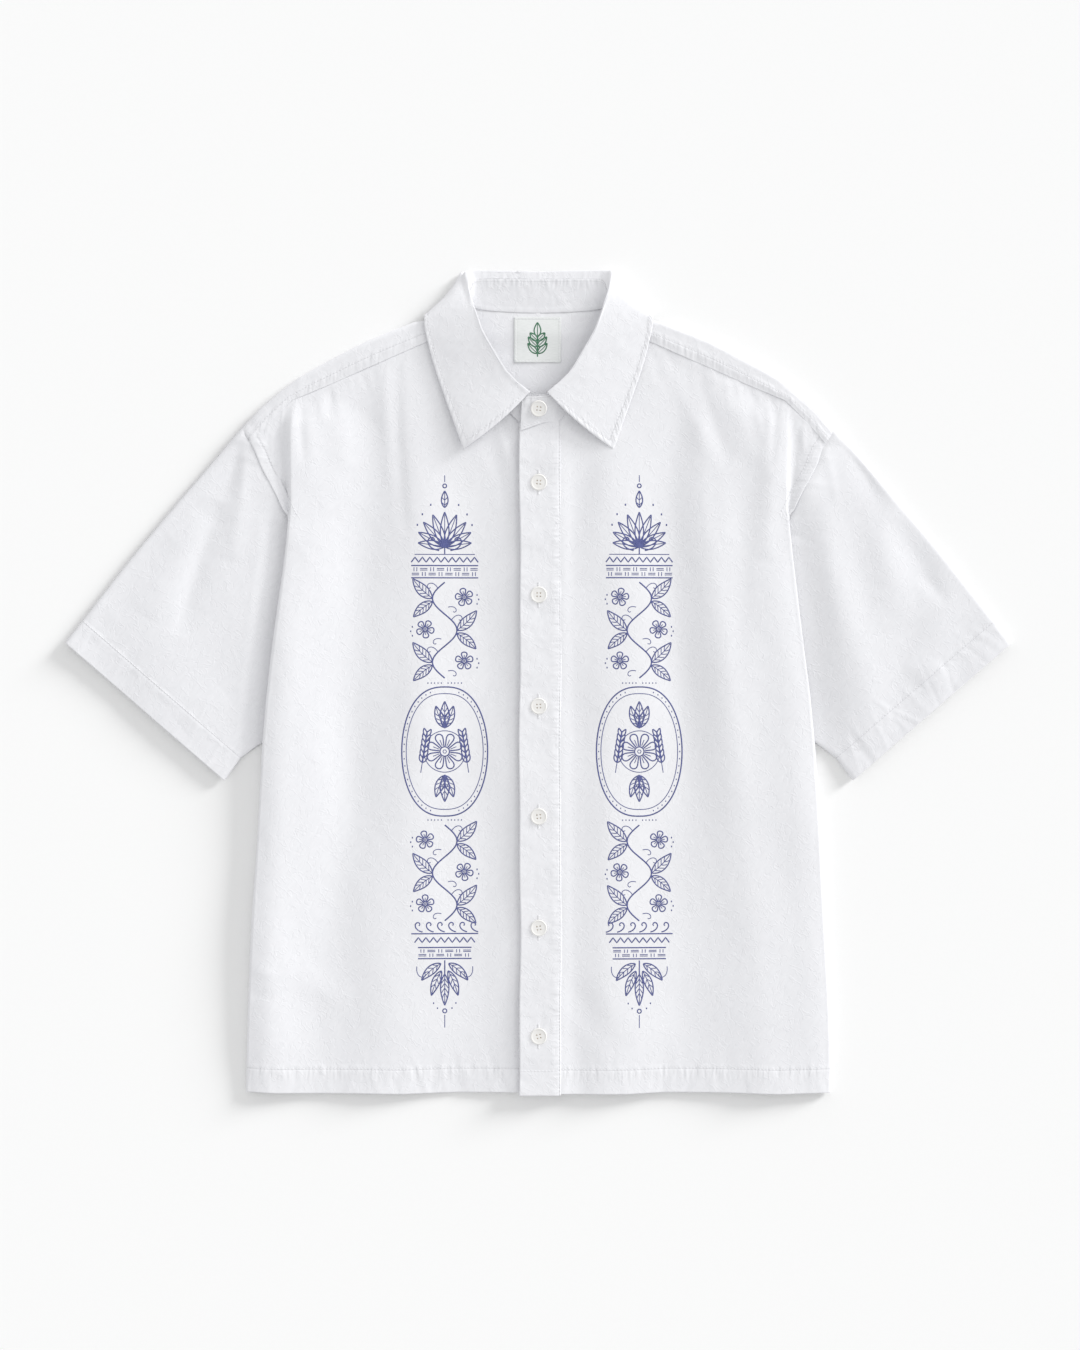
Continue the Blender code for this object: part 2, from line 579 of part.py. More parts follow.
def make_collar_leaf(collection):
    half = len(COLLARS) - 1
    sections = {}
    for side in (LEFT, RIGHT):
        for index, row in enumerate(COLLARS):
            sections[side, index] = leaf_section(row, stand_lap(index + len(STAND_ENDS), side))

    def place(column, row):
        side = LEFT if column >= half else RIGHT
        point = sections[side, half - abs(column - half)][row]
        return side * point.x, point.y, point.z

    grid_piece("collar_leaf", 2 * half, len(sections[LEFT, 0]) - 1, place, collection, COTTON)


def make_collar_stand(collection):
    ends = [(Vector(end.foot), Vector(end.seam)) for end in STAND_ENDS]
    body = [(Vector(row.foot), Vector(row.seam)) for row in COLLARS]
    half = ends + body
    count = len(half) - 1
    ring = [(index, LEFT) for index in range(count + 1)]
    ring += [(index, RIGHT) for index in range(count - 1, -1, -1)]

    def place(column, row):
        index, side = ring[column]
        foot, seam = half[index]
        reach = (seam - foot).length
        share = blend(0.0, (reach - STAND_SHORT) / reach, row / STAND_ROWS)
        point = foot.lerp(seam, share)
        return side * point.x, point.y, point.z + stand_lap(index, side)

    turn_over(grid_piece("collar_stand", len(ring) - 1, STAND_ROWS, place, collection, COTTON))


# Trims


def make_strip(name, edges, ends, top_z, thickness, collection, lift=0.0):
    """A straight band up the middle front; lift raises its free edge on the wearer's right."""
    columns, rows = 4, 8

    def place(column, row):
        x = blend(edges[0], edges[1], column / columns)
        y = blend(ends[0], ends[1], row / rows)
        return x, y, top_z + lift * (1.0 - column / columns) ** 3

    return grid_piece(name, columns, rows, place, collection, COTTON, thickness)


def button_mesh():
    """A four-hole shirt button with a raised rim, standing on the ground at the origin."""
    rim, dish = BUTTON_RADIUS, BUTTON_RADIUS * 0.62
    profile = (
        (0.0, 2.0), (dish, 2.0), (dish + 1.2, BUTTON_HEIGHT), (rim - 0.7, 2.6),
        (rim, 1.6), (rim - 1.2, 0.2), (rim * 0.4, 0.0), (0.0, 0.0),
    )
    form = bmesh.new()
    ring = [form.verts.new((x * MM, 0.0, z * MM)) for x, z in profile]
    edges = [form.edges.new(pair) for pair in zip(ring, ring[1:])]
    turn = {"axis": (0, 0, 1), "cent": (0, 0, 0), "angle": 2 * math.pi, "steps": BUTTON_STEPS}
    bmesh.ops.spin(form, geom=ring + edges, use_merge=True, **turn)
    bmesh.ops.remove_doubles(form, verts=form.verts, dist=0.00001)
    bmesh.ops.recalc_face_normals(form, faces=form.faces)
    mesh = bpy.data.meshes.new("button")
    form.to_mesh(mesh)
    form.free()
    return mesh


def drill_button(mesh, cutters):
    """Cuts the four thread holes, and returns the finished mesh."""
    blank = add_object("button_blank", mesh, cutters, PEARL)
    form = bmesh.new()
    for quarter in range(4):
        place = Matrix.Rotation(math.radians(45 + 90 * quarter), 4, "Z")
        place = place @ Matrix.Translation((HOLE_RING * MM, 0, BUTTON_HEIGHT / 2.0 * MM))
        sizes = {"radius1": HOLE_RADIUS * MM, "radius2": HOLE_RADIUS * MM, "depth": 2.0 * BUTTON_HEIGHT * MM}
        bmesh.ops.create_cone(form, cap_ends=True, segments=6, matrix=place, **sizes)
    drill = bpy.data.meshes.new("button_drill")
    form.to_mesh(drill)
    form.free()
    cutter = add_object("button_drill", drill, cutters, PEARL)
    cut = blank.modifiers.new("holes", "BOOLEAN")
    cut.object = cutter
    bpy.context.view_layer.update()
    graph = bpy.context.evaluated_depsgraph_get()
    drilled = bpy.data.meshes.new_from_object(blank.evaluated_get(graph))
    drilled.name = "button_drilled"
    for piece in (blank, cutter):
        piece.hide_render = True
        piece.display_type = "WIRE"
    return drilled


def collar_button_seat():
    """Height and tilt in degrees of the collar button on the outer face of the stand's left end."""
    foot, seam = Vector(STAND_ENDS[-1].foot), Vector(STAND_ENDS[-1].seam)
    slope = (seam.z - foot.z) / (seam.y - foot.y)
    face = foot.z + slope * (COLLAR_BUTTON_Y - foot.y) + stand_lap(len(STAND_ENDS) - 1, LEFT)
    stretch = math.sqrt(1.0 + slope**2)
    return face + (CLOTH + PLY_GAP) * stretch, math.degrees(math.atan(slope))


def make_buttons(collection, cutters):
    drilled = drill_button(button_mesh(), cutters)
    places = [("button_collar", COLLAR_BUTTON_Y, *collar_button_seat())]
    for index, y in enumerate(BUTTON_Y):
        places.append((f"button_{index + 1}", y, PLACKET_TOP_Z + PLY_GAP, 0.0))
    for name, y, z, tilt in places:
        piece = bpy.data.objects.new(name, drilled)
        collection.objects.link(piece)
        piece.location = Vector((BUTTON_X, y, z)) * MM
        piece.rotation_euler.x = math.radians(tilt)


def make_label(collection):
    half_x, half_y = LABEL_SIZE[0] / 2.0, LABEL_SIZE[1] / 2.0
    steps = 4

    def place(column, row):
        x = LABEL_CENTRE[0] + blend(-half_x, half_x, column / steps)
        y = LABEL_CENTRE[1] + blend(-half_y, half_y, row / steps)
        return x, y, yoke_lift(x, y) + CLOTH + 2.0 * PLY_GAP + LABEL_CLOTH

    return grid_piece("label", steps, steps, place, collection, LABEL_SATIN, LABEL_CLOTH)


def main():
    for piece in list(bpy.data.objects):
        bpy.data.objects.remove(piece)
    shirt = bpy.data.collections.new("barong shirt")
    cutters = bpy.data.collections.new("cutters")
    cutters.hide_render = True
    for collection in (shirt, cutters):
        bpy.context.scene.collection.children.link(collection)

    make_back(shirt)
    make_yoke(shirt)
    make_front("front_right", RIGHT, RIGHT_TOP_Z, RIGHT_FRONT_CREASES, shirt)
    make_front("front_left", LEFT, LEFT_TOP_Z, LEFT_FRONT_CREASES, shirt)
    strip_top = NECK_Y - SEAM_GAP
    stand_edges = (-UNDERLAP, UNDERLAP)
    make_strip("button_stand", stand_edges, (HEM_Y, strip_top), STAND_STRIP_TOP_Z, STAND_STRIP_CLOTH, shirt)
    placket_ends = (PLACKET_END_Y, strip_top)
    make_strip("placket", PLACKET_EDGES, placket_ends, PLACKET_TOP_Z, PLACKET_CLOTH, shirt, PLACKET_LIFT)
    make_sleeve("sleeve_right", RIGHT, RIGHT_SLEEVE_CREASES, shirt)
    make_sleeve("sleeve_left", LEFT, LEFT_SLEEVE_CREASES, shirt)
    make_collar_stand(shirt)
    make_collar_leaf(shirt)
    make_label(shirt)
    make_buttons(shirt, cutters)


main()
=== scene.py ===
import cmath
import math
import random

import bmesh
import bpy
import numpy as np
from mathutils import Matrix, Vector
from mathutils.bvhtree import BVHTree


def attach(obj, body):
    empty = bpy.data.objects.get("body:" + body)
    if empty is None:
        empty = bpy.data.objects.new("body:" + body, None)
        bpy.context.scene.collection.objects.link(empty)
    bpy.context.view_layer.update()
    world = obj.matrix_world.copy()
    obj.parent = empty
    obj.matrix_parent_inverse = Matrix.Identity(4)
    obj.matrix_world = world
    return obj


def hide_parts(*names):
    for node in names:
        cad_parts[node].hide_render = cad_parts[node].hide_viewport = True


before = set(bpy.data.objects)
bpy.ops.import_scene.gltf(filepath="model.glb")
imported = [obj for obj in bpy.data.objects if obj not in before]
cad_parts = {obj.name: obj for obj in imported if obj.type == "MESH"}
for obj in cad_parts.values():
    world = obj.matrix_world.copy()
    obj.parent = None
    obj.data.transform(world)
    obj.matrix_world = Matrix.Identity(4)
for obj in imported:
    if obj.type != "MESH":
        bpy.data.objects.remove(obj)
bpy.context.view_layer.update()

# Lengths are millimetres and become metres through mm. +X is the wearer's left, +Y the collar.
mm = 0.001
left, right = 1, -1

studio = {
    "cameraHeight": 3000,
    "lens": 88.9,  # frames 972 x 1215 mm at the floor
    "aim": (1.35, 7.2),
    "floorSize": 6,
    "floorZ": -0.4,
    "floorColor": (0.966, 0.965, 0.957),
    "skyColor": (0.985, 0.99, 1, 1),
    "skyStrength": 0.745,
    # name, what it lights, direction it comes from, degrees across, strength
    "lamps": (
        ("low key", "shirt", (0.80, 0.60, 0.235), 16, 1.65),
        ("high key", "shirt", (0.80, 0.60, 0.66), 32, 0.68),
        ("shadow key", "floor", (0.83, 0.555, 0.237), 17, 3.54),
    ),
}


def ramp(at, start=0, span=1):  # 0 up to start, then evenly to 1 over the span
    return np.clip((at - start) / span, 0, 1)


def ease(at, start=0, span=1):  # the same with soft ends
    at = ramp(at, start, span)
    return at * at * (3 - 2 * at)


def fade(at, start=0, span=1):
    return 1 - ease(at, start, span)


def bell(away, width):
    return np.exp(-((away / width) ** 2))


def mix(start, end, amount):
    return start + (end - start) * amount


def readCurve(at, keys, values):  # a smooth curve through the table's points
    keys, values = np.asarray(keys, float), np.asarray(values, float)
    slopes = np.gradient(values, keys)
    index = np.clip(np.searchsorted(keys, at) - 1, 0, len(keys) - 2)
    step = keys[index + 1] - keys[index]
    t = ramp(at, keys[index], step)
    bend = (t**3 - 2 * t**2 + t) * slopes[index] + (t**3 - t**2) * slopes[index + 1]
    return mix(values[index], values[index + 1], 3 * t**2 - 2 * t**3) + bend * step


def waves(x, y, size, seed, count=22):  # a smooth random field with a spread of one
    chance = random.Random(seed)
    total = 0
    for _ in range(count):
        heading, phase = chance.uniform(0, math.pi), chance.uniform(0, 2 * math.pi)
        pace = 2 * math.pi / (size * chance.uniform(0.7, 1.7))
        total = total + np.sin((x * math.cos(heading) + y * math.sin(heading)) * pace + phase)
    return total * math.sqrt(2 / count)


def foldField(folds, x, y):  # soft ridges and troughs along the listed lines
    total = np.zeros_like(x)
    for width, height, lean, *path in folds:
        path = np.reshape(np.array(path, float), (-1, 2))
        steps = np.linalg.norm(np.diff(path, axis=0), axis=1)
        begins = np.concatenate([[0], np.cumsum(steps)])
        nearest = np.full(x.shape, np.inf)
        reach, flank = np.zeros_like(x), np.zeros_like(x)
        for (ax, ay), (bx, by), step, begin in zip(path, path[1:], steps, begins):
            alongX, alongY = (bx - ax) / step, (by - ay) / step
            run = np.clip((x - ax) * alongX + (y - ay) * alongY, 0, step)
            offX, offY = x - ax - run * alongX, y - ay - run * alongY
            gap = np.hypot(offX, offY)
            closer = gap < nearest
            nearest = np.where(closer, gap, nearest)
            reach = np.where(closer, begin + run, reach)
            flank = np.where(closer, np.tanh((offX * alongY - offY * alongX) / width), flank)
        ends = np.sin(math.pi * ramp(reach, 0, begins[-1])) ** 0.6
        total += height * ends * bell(nearest, width * (1 + lean * flank))
    return total


def puckers(along, across, band, seed, pitch, height, length):  # gathers square to a sewn line
    chance = random.Random(seed)
    total = np.zeros_like(along)
    past = np.clip(across - band, 0, None)
    spot, last = float(along.min()), float(along.max())
    while spot < last:
        spot += pitch * chance.uniform(0.45, 1.6)
        size, lean = chance.uniform(0.14, 0.35) * pitch, chance.uniform(-0.45, 0.45)
        lift = height * chance.choice((-1, -0.7, 0.6, 1)) * chance.uniform(0.35, 1)
        reach = length * chance.uniform(0.4, 1.7)
        profile = np.where(across < 0, 0, bell(past, reach))
        total += lift * profile * bell(along - spot - lean * across, size)
    return total


def sewnLine(across, at, depth, width=0.9):  # the cloth pulled down by a row of stitches
    return -depth * bell(across - at, width)


def roundEdge(inset, radius=0.8):  # wears the corner off a free edge
    return -0.7 * radius * (1 - np.sqrt(1 - (1 - ramp(inset, 0, radius)) ** 2))


def spread(*stops):  # grid lines from (start, step) pairs and a final end
    lines = []
    for (start, step), after in zip(stops[:-1], stops[1:]):
        end = after[0] if isinstance(after, tuple) else after
        count = max(1, round((end - start) / step))
        lines += [start + (end - start) * part / count for part in range(count)]
    return np.array(lines + [stops[-1]])


def mirroredLines(half):
    return np.concatenate([-half[:0:-1], half])


def meshFrom(form, name):
    mesh = bpy.data.meshes.new(name)
    form.to_mesh(mesh)
    form.free()
    mesh.shade_smooth()
    return mesh


def addObject(name, data):
    thing = bpy.data.objects.new(name, data)
    bpy.context.scene.collection.objects.link(thing)
    return thing


def bakedMesh(thing):  # its mesh with the modifiers applied
    bpy.context.view_layer.update()
    return bpy.data.meshes.new_from_object(thing.evaluated_get(bpy.context.evaluated_depsgraph_get()))


# Materials


def feed(tree, node, inputs):  # each input takes a value or another node's output
    for name, value in inputs.items():
        if isinstance(value, bpy.types.NodeSocket):
            tree.links.new(value, node.inputs[name])
        else:
            node.inputs[name].default_value = value


def addNode(tree, kind, inputs, output=0, **settings):
    node = tree.nodes.new("ShaderNode" + kind)
    for name, value in settings.items():
        setattr(node, name, value)
    feed(tree, node, inputs)
    return node.outputs[output]


def addNoise(tree, vector, scale, detail, stretch=(1, 1, 1), turn=0):
    inputs = {"Vector": vector, "Scale": stretch, "Rotation": (0, 0, turn)}
    vector = addNode(tree, "Mapping", inputs, vector_type="TEXTURE")
    return addNode(tree, "TexNoise", {"Vector": vector, "Scale": scale, "Detail": detail}, "Fac")


def addBump(tree, height, depth, strength, under=None):
    inputs = {"Height": height, "Distance": depth * mm, "Strength": strength}
    return addNode(tree, "Bump", inputs | ({"Normal": under} if under else {}))


def addMath(tree, operation, first, second=0.5):
    return addNode(tree, "Math", {0: first, 1: second}, operation=operation)


def addRange(tree, value, start, end, low=0, high=1):  # a smooth step from low to high
    inputs = {"Value": value, "From Min": start, "From Max": end, "To Min": low, "To Max": high}
    return addNode(tree, "MapRange", inputs, interpolation_type="SMOOTHSTEP")


def tint(tree, factor, low, high):
    ramps = tree.nodes.new("ShaderNodeValToRGB")
    for stop, position, colour in zip(ramps.color_ramp.elements, (0.3, 0.7), (low, high)):
        stop.position, stop.color = position, (*colour, 1)
    tree.links.new(factor, ramps.inputs["Fac"])
    return ramps.outputs["Color"]


def objectPlace(tree):
    return addNode(tree, "TexCoord", {}, "Object")


def cutPlace(tree):  # the flat sheet before it was sewn
    return addNode(tree, "UVMap", {}, uv_map="cut")


def seamPlace(tree):  # the place along each seam, and the distance from it
    seams = addNode(tree, "UVMap", {}, uv_map="seams")
    return seams, addNode(tree, "SeparateXYZ", {"Vector": seams}, "Y")


def newMaterial(name, looks):
    material = bpy.data.materials.new(name)
    material.use_nodes = True
    shader = material.node_tree.nodes["Principled BSDF"]
    feed(material.node_tree, shader, looks)
    return material, material.node_tree, shader


def makeFinish(name, grain, low, high, relief, looks, place=objectPlace):  # one grain in colour and relief
    material, tree, shader = newMaterial(name, looks)
    noise = addNoise(tree, place(tree), *grain)
    feed(tree, shader, {"Base Color": tint(tree, noise, low, high)})
    if relief:
        feed(tree, shader, {"Normal": addBump(tree, noise, *relief)})
    return material


cotton = {
    "low": (0.845, 0.845, 0.866),
    "high": (0.875, 0.875, 0.895),
    "threadPitch": 0.55,
    "gatherPitch": 4.8,
    "gatherDepth": 0.42,
    "gatherReach": 15,
    "creaseWidth": 0.05,
    # how far the painted shade in the rows of stitches darkens the cloth's colour
    "seamShade": 0.885,
    "twillAngle": 52,
    "looks": {"Roughness": 0.9, "Specular IOR Level": 0.25, "Sheen Weight": 0.12, "Sheen Roughness": 0.5},
}


def fineCreases(tree, vector, scale, turn):  # short curved creases
    noise = addNoise(tree, vector, scale, 1, (1, 2.3, 1), turn)
    away = addMath(tree, "ABSOLUTE", addMath(tree, "SUBTRACT", noise))
    line = addRange(tree, away, 0, cotton["creaseWidth"], 1, 0)
    patch = addRange(tree, addNoise(tree, vector, scale * 0.6, 0), 0.42, 0.6)
    return addMath(tree, "MULTIPLY", line, patch)


def sewnGathers(tree):  # small gathers square to the seams
    seams, inset = seamPlace(tree)
    gathers = addNoise(tree, seams, 1 / (cotton["gatherPitch"] * mm), 1, (1, 5, 1), 0.06)
    within, past = addRange(tree, inset, 0, cotton["gatherReach"] * mm, 1, 0), addRange(tree, inset, -5 * mm, 0)
    onBand = addMath(tree, "MULTIPLY", within, past)
    return addMath(tree, "MULTIPLY", addRange(tree, gathers, 0.32, 0.68), onBand)


def seamShaded(tree, colour):  # painted shade: the cloth's colour is darkened along its rows of stitches, standing for the shade down in the stitch holes
    away = addMath(tree, "ABSOLUTE", seamPlace(tree)[1])
    shade = addRange(tree, away, 0.2 * mm, 0.9 * mm, cotton["seamShade"], 1)
    return addNode(tree, "VectorMath", {0: colour, "Scale": shade}, operation="SCALE")


def cottonMaterial():
    material, tree, shader = newMaterial("white cotton twill", cotton["looks"])
    where = objectPlace(tree)
    turned = {"Vector": cutPlace(tree), "Rotation": (0, 0, math.radians(cotton["twillAngle"]))}
    scale = 1 / (cotton["threadPitch"] * mm) / 20 * math.pi
    inputs = {"Vector": addNode(tree, "Mapping", turned), "Scale": scale, "Distortion": 1.2, "Detail": 2}
    twill = addNode(tree, "TexWave", inputs, "Fac")
    slub = addNoise(tree, where, 420, 3, (1, 3.5, 1), math.radians(-38))
    crumple = addNoise(tree, where, 95, 3, (1, 1.6, 1), math.radians(30))
    raised, pressed = fineCreases(tree, where, 205, 0.8), fineCreases(tree, where, 180, -0.5)
    normal = None
    for height, depth, strength in (
        (sewnGathers(tree), cotton["gatherDepth"], 1), (crumple, 0.45, 0.14),
        (addMath(tree, "SUBTRACT", raised, pressed), 0.1, 0.85), (slub, 0.08, 0.3), (twill, 0.04, 0.25),
    ):
        normal = addBump(tree, height, depth, strength, normal)
    # the base colour carries painted shade along the rows of stitches
    colour = seamShaded(tree, tint(tree, slub, cotton["low"], cotton["high"]))
    feed(tree, shader, {"Normal": normal, "Base Color": colour})
    return material


cottonFinish = cottonMaterial()
# name, grain, its two colours, relief, looks
inkFinish = makeFinish(
    "indigo print", (900, 4), (0.085, 0.10, 0.27), (0.15, 0.165, 0.36), (0.05, 0.4),
    {"Roughness": 0.8, "Specular IOR Level": 0.2},
)
threadFinish, tanFinish = (
    makeFinish(name, (2600, 1), low, high, (0.08, 0.5), {"Roughness": 0.6})
    for name, low, high in (
        ("white sewing thread", (0.84, 0.84, 0.86), (0.93, 0.93, 0.94)),
        ("button thread", (0.50, 0.42, 0.34), (0.62, 0.54, 0.45)),
    )
)
pearlFinish = makeFinish(
    "pearl button", (160, 3, (1, 2.8, 1), 0.5), (0.84, 0.825, 0.795), (0.90, 0.888, 0.865), (0.03, 0.3),
    {"Roughness": 0.28, "Coat Weight": 0.25},
)
satinFinish = makeFinish(
    "label satin", (900, 2, (5, 0.6, 1)), (0.80, 0.82, 0.805), (0.87, 0.885, 0.875), (0.1, 0.4),
    {"Roughness": 0.45, "Anisotropic": 0.4}, cutPlace,
)
greenFinish = makeFinish(
    "green weft", (1500, 2, (3.3, 0.7, 1)), (0.045, 0.165, 0.09), (0.08, 0.24, 0.135), (0.08, 0.4),
    {"Roughness": 0.55},
)


# Cloth pieces


def addPiece(name, mesh, material):
    mesh.materials.clear()
    mesh.materials.append(material)
    piece = addObject(name, mesh)
    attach(piece, "root")
    return piece


def clothPiece(name, across, up, place, detail, wall, turned=False, tube=False, material=None, seams=None):
    columns, rows = np.meshgrid(across, up)
    points = np.stack(place(columns, rows), axis=-1)
    facing = np.cross(np.gradient(points, axis=1), np.gradient(points, axis=0))
    facing /= np.linalg.norm(facing, axis=-1, keepdims=True) + 1e-9
    if turned:
        facing = -facing
    if tube:
        facing[:, 0] = facing[:, -1] = (facing[:, 0] + facing[:, -1]) / 2
    cut = [
        np.cumsum(np.linalg.norm(np.diff(points, axis=axis, prepend=first), axis=-1), axis=axis)
        for axis, first in ((1, points[:, :1]), (0, points[:1]))
    ]
    points = points + facing * detail(columns, rows, points[..., 0], points[..., 1])[..., None]
    if tube:
        points[:, -1] = points[:, 0]
    along, inset = columns * 0, columns * 0 + 90
    if seams:
        along, inset = seams(columns, rows, points[..., 0], points[..., 1])

    grid = bmesh.new()
    bmesh.ops.create_grid(grid, x_segments=len(across) - 1, y_segments=len(up) - 1, size=1)
    mesh = meshFrom(grid, name)
    spots = np.empty(len(mesh.vertices) * 3)
    mesh.vertices.foreach_get("co", spots)
    spots = (spots.reshape(-1, 3) + 1) / 2
    counts = enumerate((len(across), len(up)))
    column, row = (np.rint(spots[:, axis] * (count - 1)).astype(int) for axis, count in counts)
    mesh.vertices.foreach_set("co", (points[row, column] * mm).ravel())
    corner = np.empty(len(mesh.loops), int)
    mesh.loops.foreach_get("vertex_index", corner)
    for layer, pair in (("cut", cut), ("seams", (along, np.clip(inset, -40, 90)))):
        spots = np.stack([values[row, column] for values in pair], axis=-1) * mm
        mesh.uv_layers.new(name=layer).data.foreach_set("uv", spots[corner].ravel())
    form = bmesh.new()
    form.from_mesh(mesh)
    if tube:
        bmesh.ops.remove_doubles(form, verts=form.verts, dist=0.0000001)
    if turned:
        bmesh.ops.reverse_faces(form, faces=form.faces)
    form.to_mesh(mesh)
    form.free()
    piece = addPiece(name + "_cloth", mesh, material or cottonFinish)
    shell = piece.modifiers.new("wall", "SOLIDIFY")
    shell.thickness = wall * mm
    shell.offset = -1
    shell.use_even_offset = False
    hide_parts(name)
    print(name, len(mesh.polygons) * 4, "triangles")
    return piece


def crumpled(x, y, seed):  # the cloth's own unevenness: long upright swells and faint crumples
    swell = 0.34 * waves(x * 1.7, y * 0.75, 105, seed)
    return swell - 0.05 * np.abs(waves(x, y, 30, seed + 1)) + 0.015 * waves(x, y, 12, seed + 2)


# Body

body = {
    "hemY": -367,
    "topY": 147,  # where the armhole comes out from under the front
    "underlap": 15,
    "rollWidth": 3,
    "underRoll": 8,
    "shoulderWidth": 22,  # beside the roll the cloth falls a little towards it
    "shoulderFall": 1.8,
    "restZ": 5.2,
    "hemDepth": 21.5,
    "armTopY": 227,
    "armBand": 9,
    "armStitch": 8.2,
    "armSlope": 0.85,  # turns a level distance from the armhole into a square one
    "yokeBand": 10,
    "frontColumns": 18,  # up to the side's roll, which takes the next six
    "backZ": 0.9,
    "wall": 0.8,
}
# y, outermost x, seam x, seam z and crest z of the body's side
bodySides = np.array((
    (-367, 262.8, 252.8, 0, 9.4), (-312, 262.2, 252.2, 0, 11), (-231, 258.4, 248, 0, 12.6),
    (-150, 253.9, 243.4, 0, 13.6), (-96, 250.8, 240.4, 0, 14.4), (-80, 249.6, 238.6, 0, 14.6),
    (-66, 248.8, 233.4, 2.9, 14.8), (-54, 247.8, 228.2, 5, 15), (-42, 246.6, 224, 5.6, 15.2),
    (-15, 244.1, 214, 6.8, 15.2), (30, 238.7, 212, 7, 14.8), (75, 232.8, 214, 7, 14.2),
    (110, 228.5, 218, 7, 13.2), (130, 226.5, 221.4, 7, 12.4), (147, 225, 225, 7.6, 11.4),
))
# column, x, y and rise of the front's upper edge
frontTops = np.array((
    (0, -15, 231.7, 0), (2, 17, 231.7, 0), (3, 34, 250, 0), (4, 50, 275, 0.8), (5, 62, 298, 1.4),
    (6, 72, 317.6, 1.8), (8, 104, 303.7, 1.9), (11, 145, 285.7, 2), (14, 184, 268.3, 2.2),
    (17, 216, 255.2, 2.4), (18, 220.9, 252.7, 2.4), (21, 239.7, 234, 2.5), (24, 257.2, 213.8, 2.6),
))
armhole = np.array((
    (267.6, 227.3), (258, 213.9), (249, 193.5), (235.8, 169), (225.5, 147), (218, 110), (214, 75),
    (212, 30), (214, -15), (224, -42),
))
# y, then the x of the inner trough, ridge, outer trough and the top of the rise to the side: the
# right front's four and the left front's
swells = np.array((
    (-367, 52, 140, 200, 250, 32, 65, 143, 216), (-303, 52, 134, 194, 248, 32, 64, 138, 208),
    (-231, 52, 129, 187, 246, 32, 64, 132, 202), (-159, 52, 125, 174, 244, 32, 65, 129, 195),
    (-87, 52, 114, 163, 242, 32, 65, 128, 184), (-15, 52, 111, 160, 238, 32, 66, 127, 177),
    (56, 52, 108, 156, 230, 32, 66, 121, 168), (147, 52, 110, 151, 218, 32, 64, 118, 154),
    (300, 52, 108, 150, 214, 32, 60, 118, 150),
))
# x and the height that the hem gains, so that its shadow varies
hemLift = np.array((
    (-262, -2.2), (-215, 0.2), (-170, 0.2), (-130, -0.8), (-95, -2.4), (-58, -0.4), (-20, 0.6), (0, 0.6),
    (25, 0.4), (70, -1.4), (112, -2.6), (150, 0.4), (200, 1.4), (240, -0.6), (262, -1.2),
))
hemWave = np.array((
    (-262, 0), (-235, -1.6), (-160, -1.7), (-122, -2.4), (-70, -0.8), (-20, -0.8), (20, -2.2), (80, -2.3),
    (115, -0.7), (165, -0.8), (215, -2.3), (262, -1.2),
))
# swells are columns above, levels the heights at the placket and at those lines and the share of the
# crest that the side keeps, valleyZ and seamZ lie between the ridge and the armhole, and each fold is
# a width, a height, a lean and the x and y along its line
fronts = {
    right: {
        "swells": (1, 2, 3, 4),
        "levels": (5.2, 3.6, 7.8, 4.2, 1),
        "centreZ": 5.2,
        "valleyZ": 4.7,
        "seamZ": 8,
        "seed": 11,
        "folds": (
            (13, 0.9, 0.3, -221, 275, -223, 215, -224, 120), (9, 1.1, 0, -222, 165, -229, 95, -237, 20),
            (9, 0.5, 0, -203, 240, -206, 175), (10, 0.6, 0, -181, 250, -172, 190),
            (14, 0.9, 0, -236, -250, -170, -290),
        ),
        "fine": (
            (3, 0.12, 0.3, -221, 252, -222, 215, -223, 150),
            (4.5, -0.8, 0, -230, 240, -229, 205, -229, 160), (3, 0.6, 0, -240, 226, -238, 196),
            (4, -0.8, 0, -212, 258, -213, 225, -210, 195), (4, 0.5, 0, -196, 262, -194, 232),
            (3.5, -0.5, 0, -186, 266, -186, 238), (6, -0.9, 0.2, -128, 300, -126, 220, -120, 130),
            (6, 0.6, 0, -138, 292, -137, 230, -132, 170), (5, 0.9, 0, -36, 231, -30, 212, -23, 190),
            (7, -0.6, 0, -46, 222, -38, 196, -26, 160), (5, 0.7, 0, -258, -257, -236, -262),
            (4, -0.6, 0, -258, -281, -238, -280),
        ),
    },
    left: {
        "swells": (5, 6, 7, 8),
        "levels": (8.3, 7.3, 9.9, 4.9, 0.6),
        "centreZ": 8,
        "valleyZ": 6.7,
        "seamZ": 9.2,
        "seed": 12,
        "folds": (
            (11, 2.3, 0, 205, 262, 209, 190, 204, 110), (12, -1, 0, 182, 210, 183, 110, 180, 20),
            (9, 0.8, 0, 175, 262, 195, 195), (12, -0.8, 0, 142, 280, 171, 190),
            (12, 0.8, 0, 116, 288, 160, 190), (12, -1, 0, 25, -265, 74, -335),
        ),
        "fine": (
            (4.5, -0.9, 0, 226, 245, 228, 215, 226, 175), (3.5, 0.8, 0, 237, 232, 238, 205),
            (4, -0.9, 0, 210, 258, 212, 232, 209, 190), (4, 0.7, 0, 195, 264, 198, 240, 205, 205),
            (4, -0.8, 0, 189, 265, 200, 243, 204, 203), (6, -0.5, 0, 142, 283, 155, 240, 171, 197),
            (6, 0.4, 0, 114, 290, 138, 240, 160, 191), (4, -0.5, 0, 105, 298, 108, 270),
            (12, 0.6, 0, 60, 200, 50, 150, 44, 90),
        ),
    },
}


def sideColumn(y, column):
    return readCurve(np.minimum(y, body["topY"]), bodySides[:, 0], bodySides[:, column])


def armholeX(y):
    return readCurve(np.clip(y, body["topY"], body["armTopY"]), armhole[4::-1, 1], armhole[4::-1, 0])


def fromArmhole(x, y):
    return (armholeX(y) - np.abs(x)) * body["armSlope"]


def hemSway(x):
    return np.interp(x, *hemWave.T)


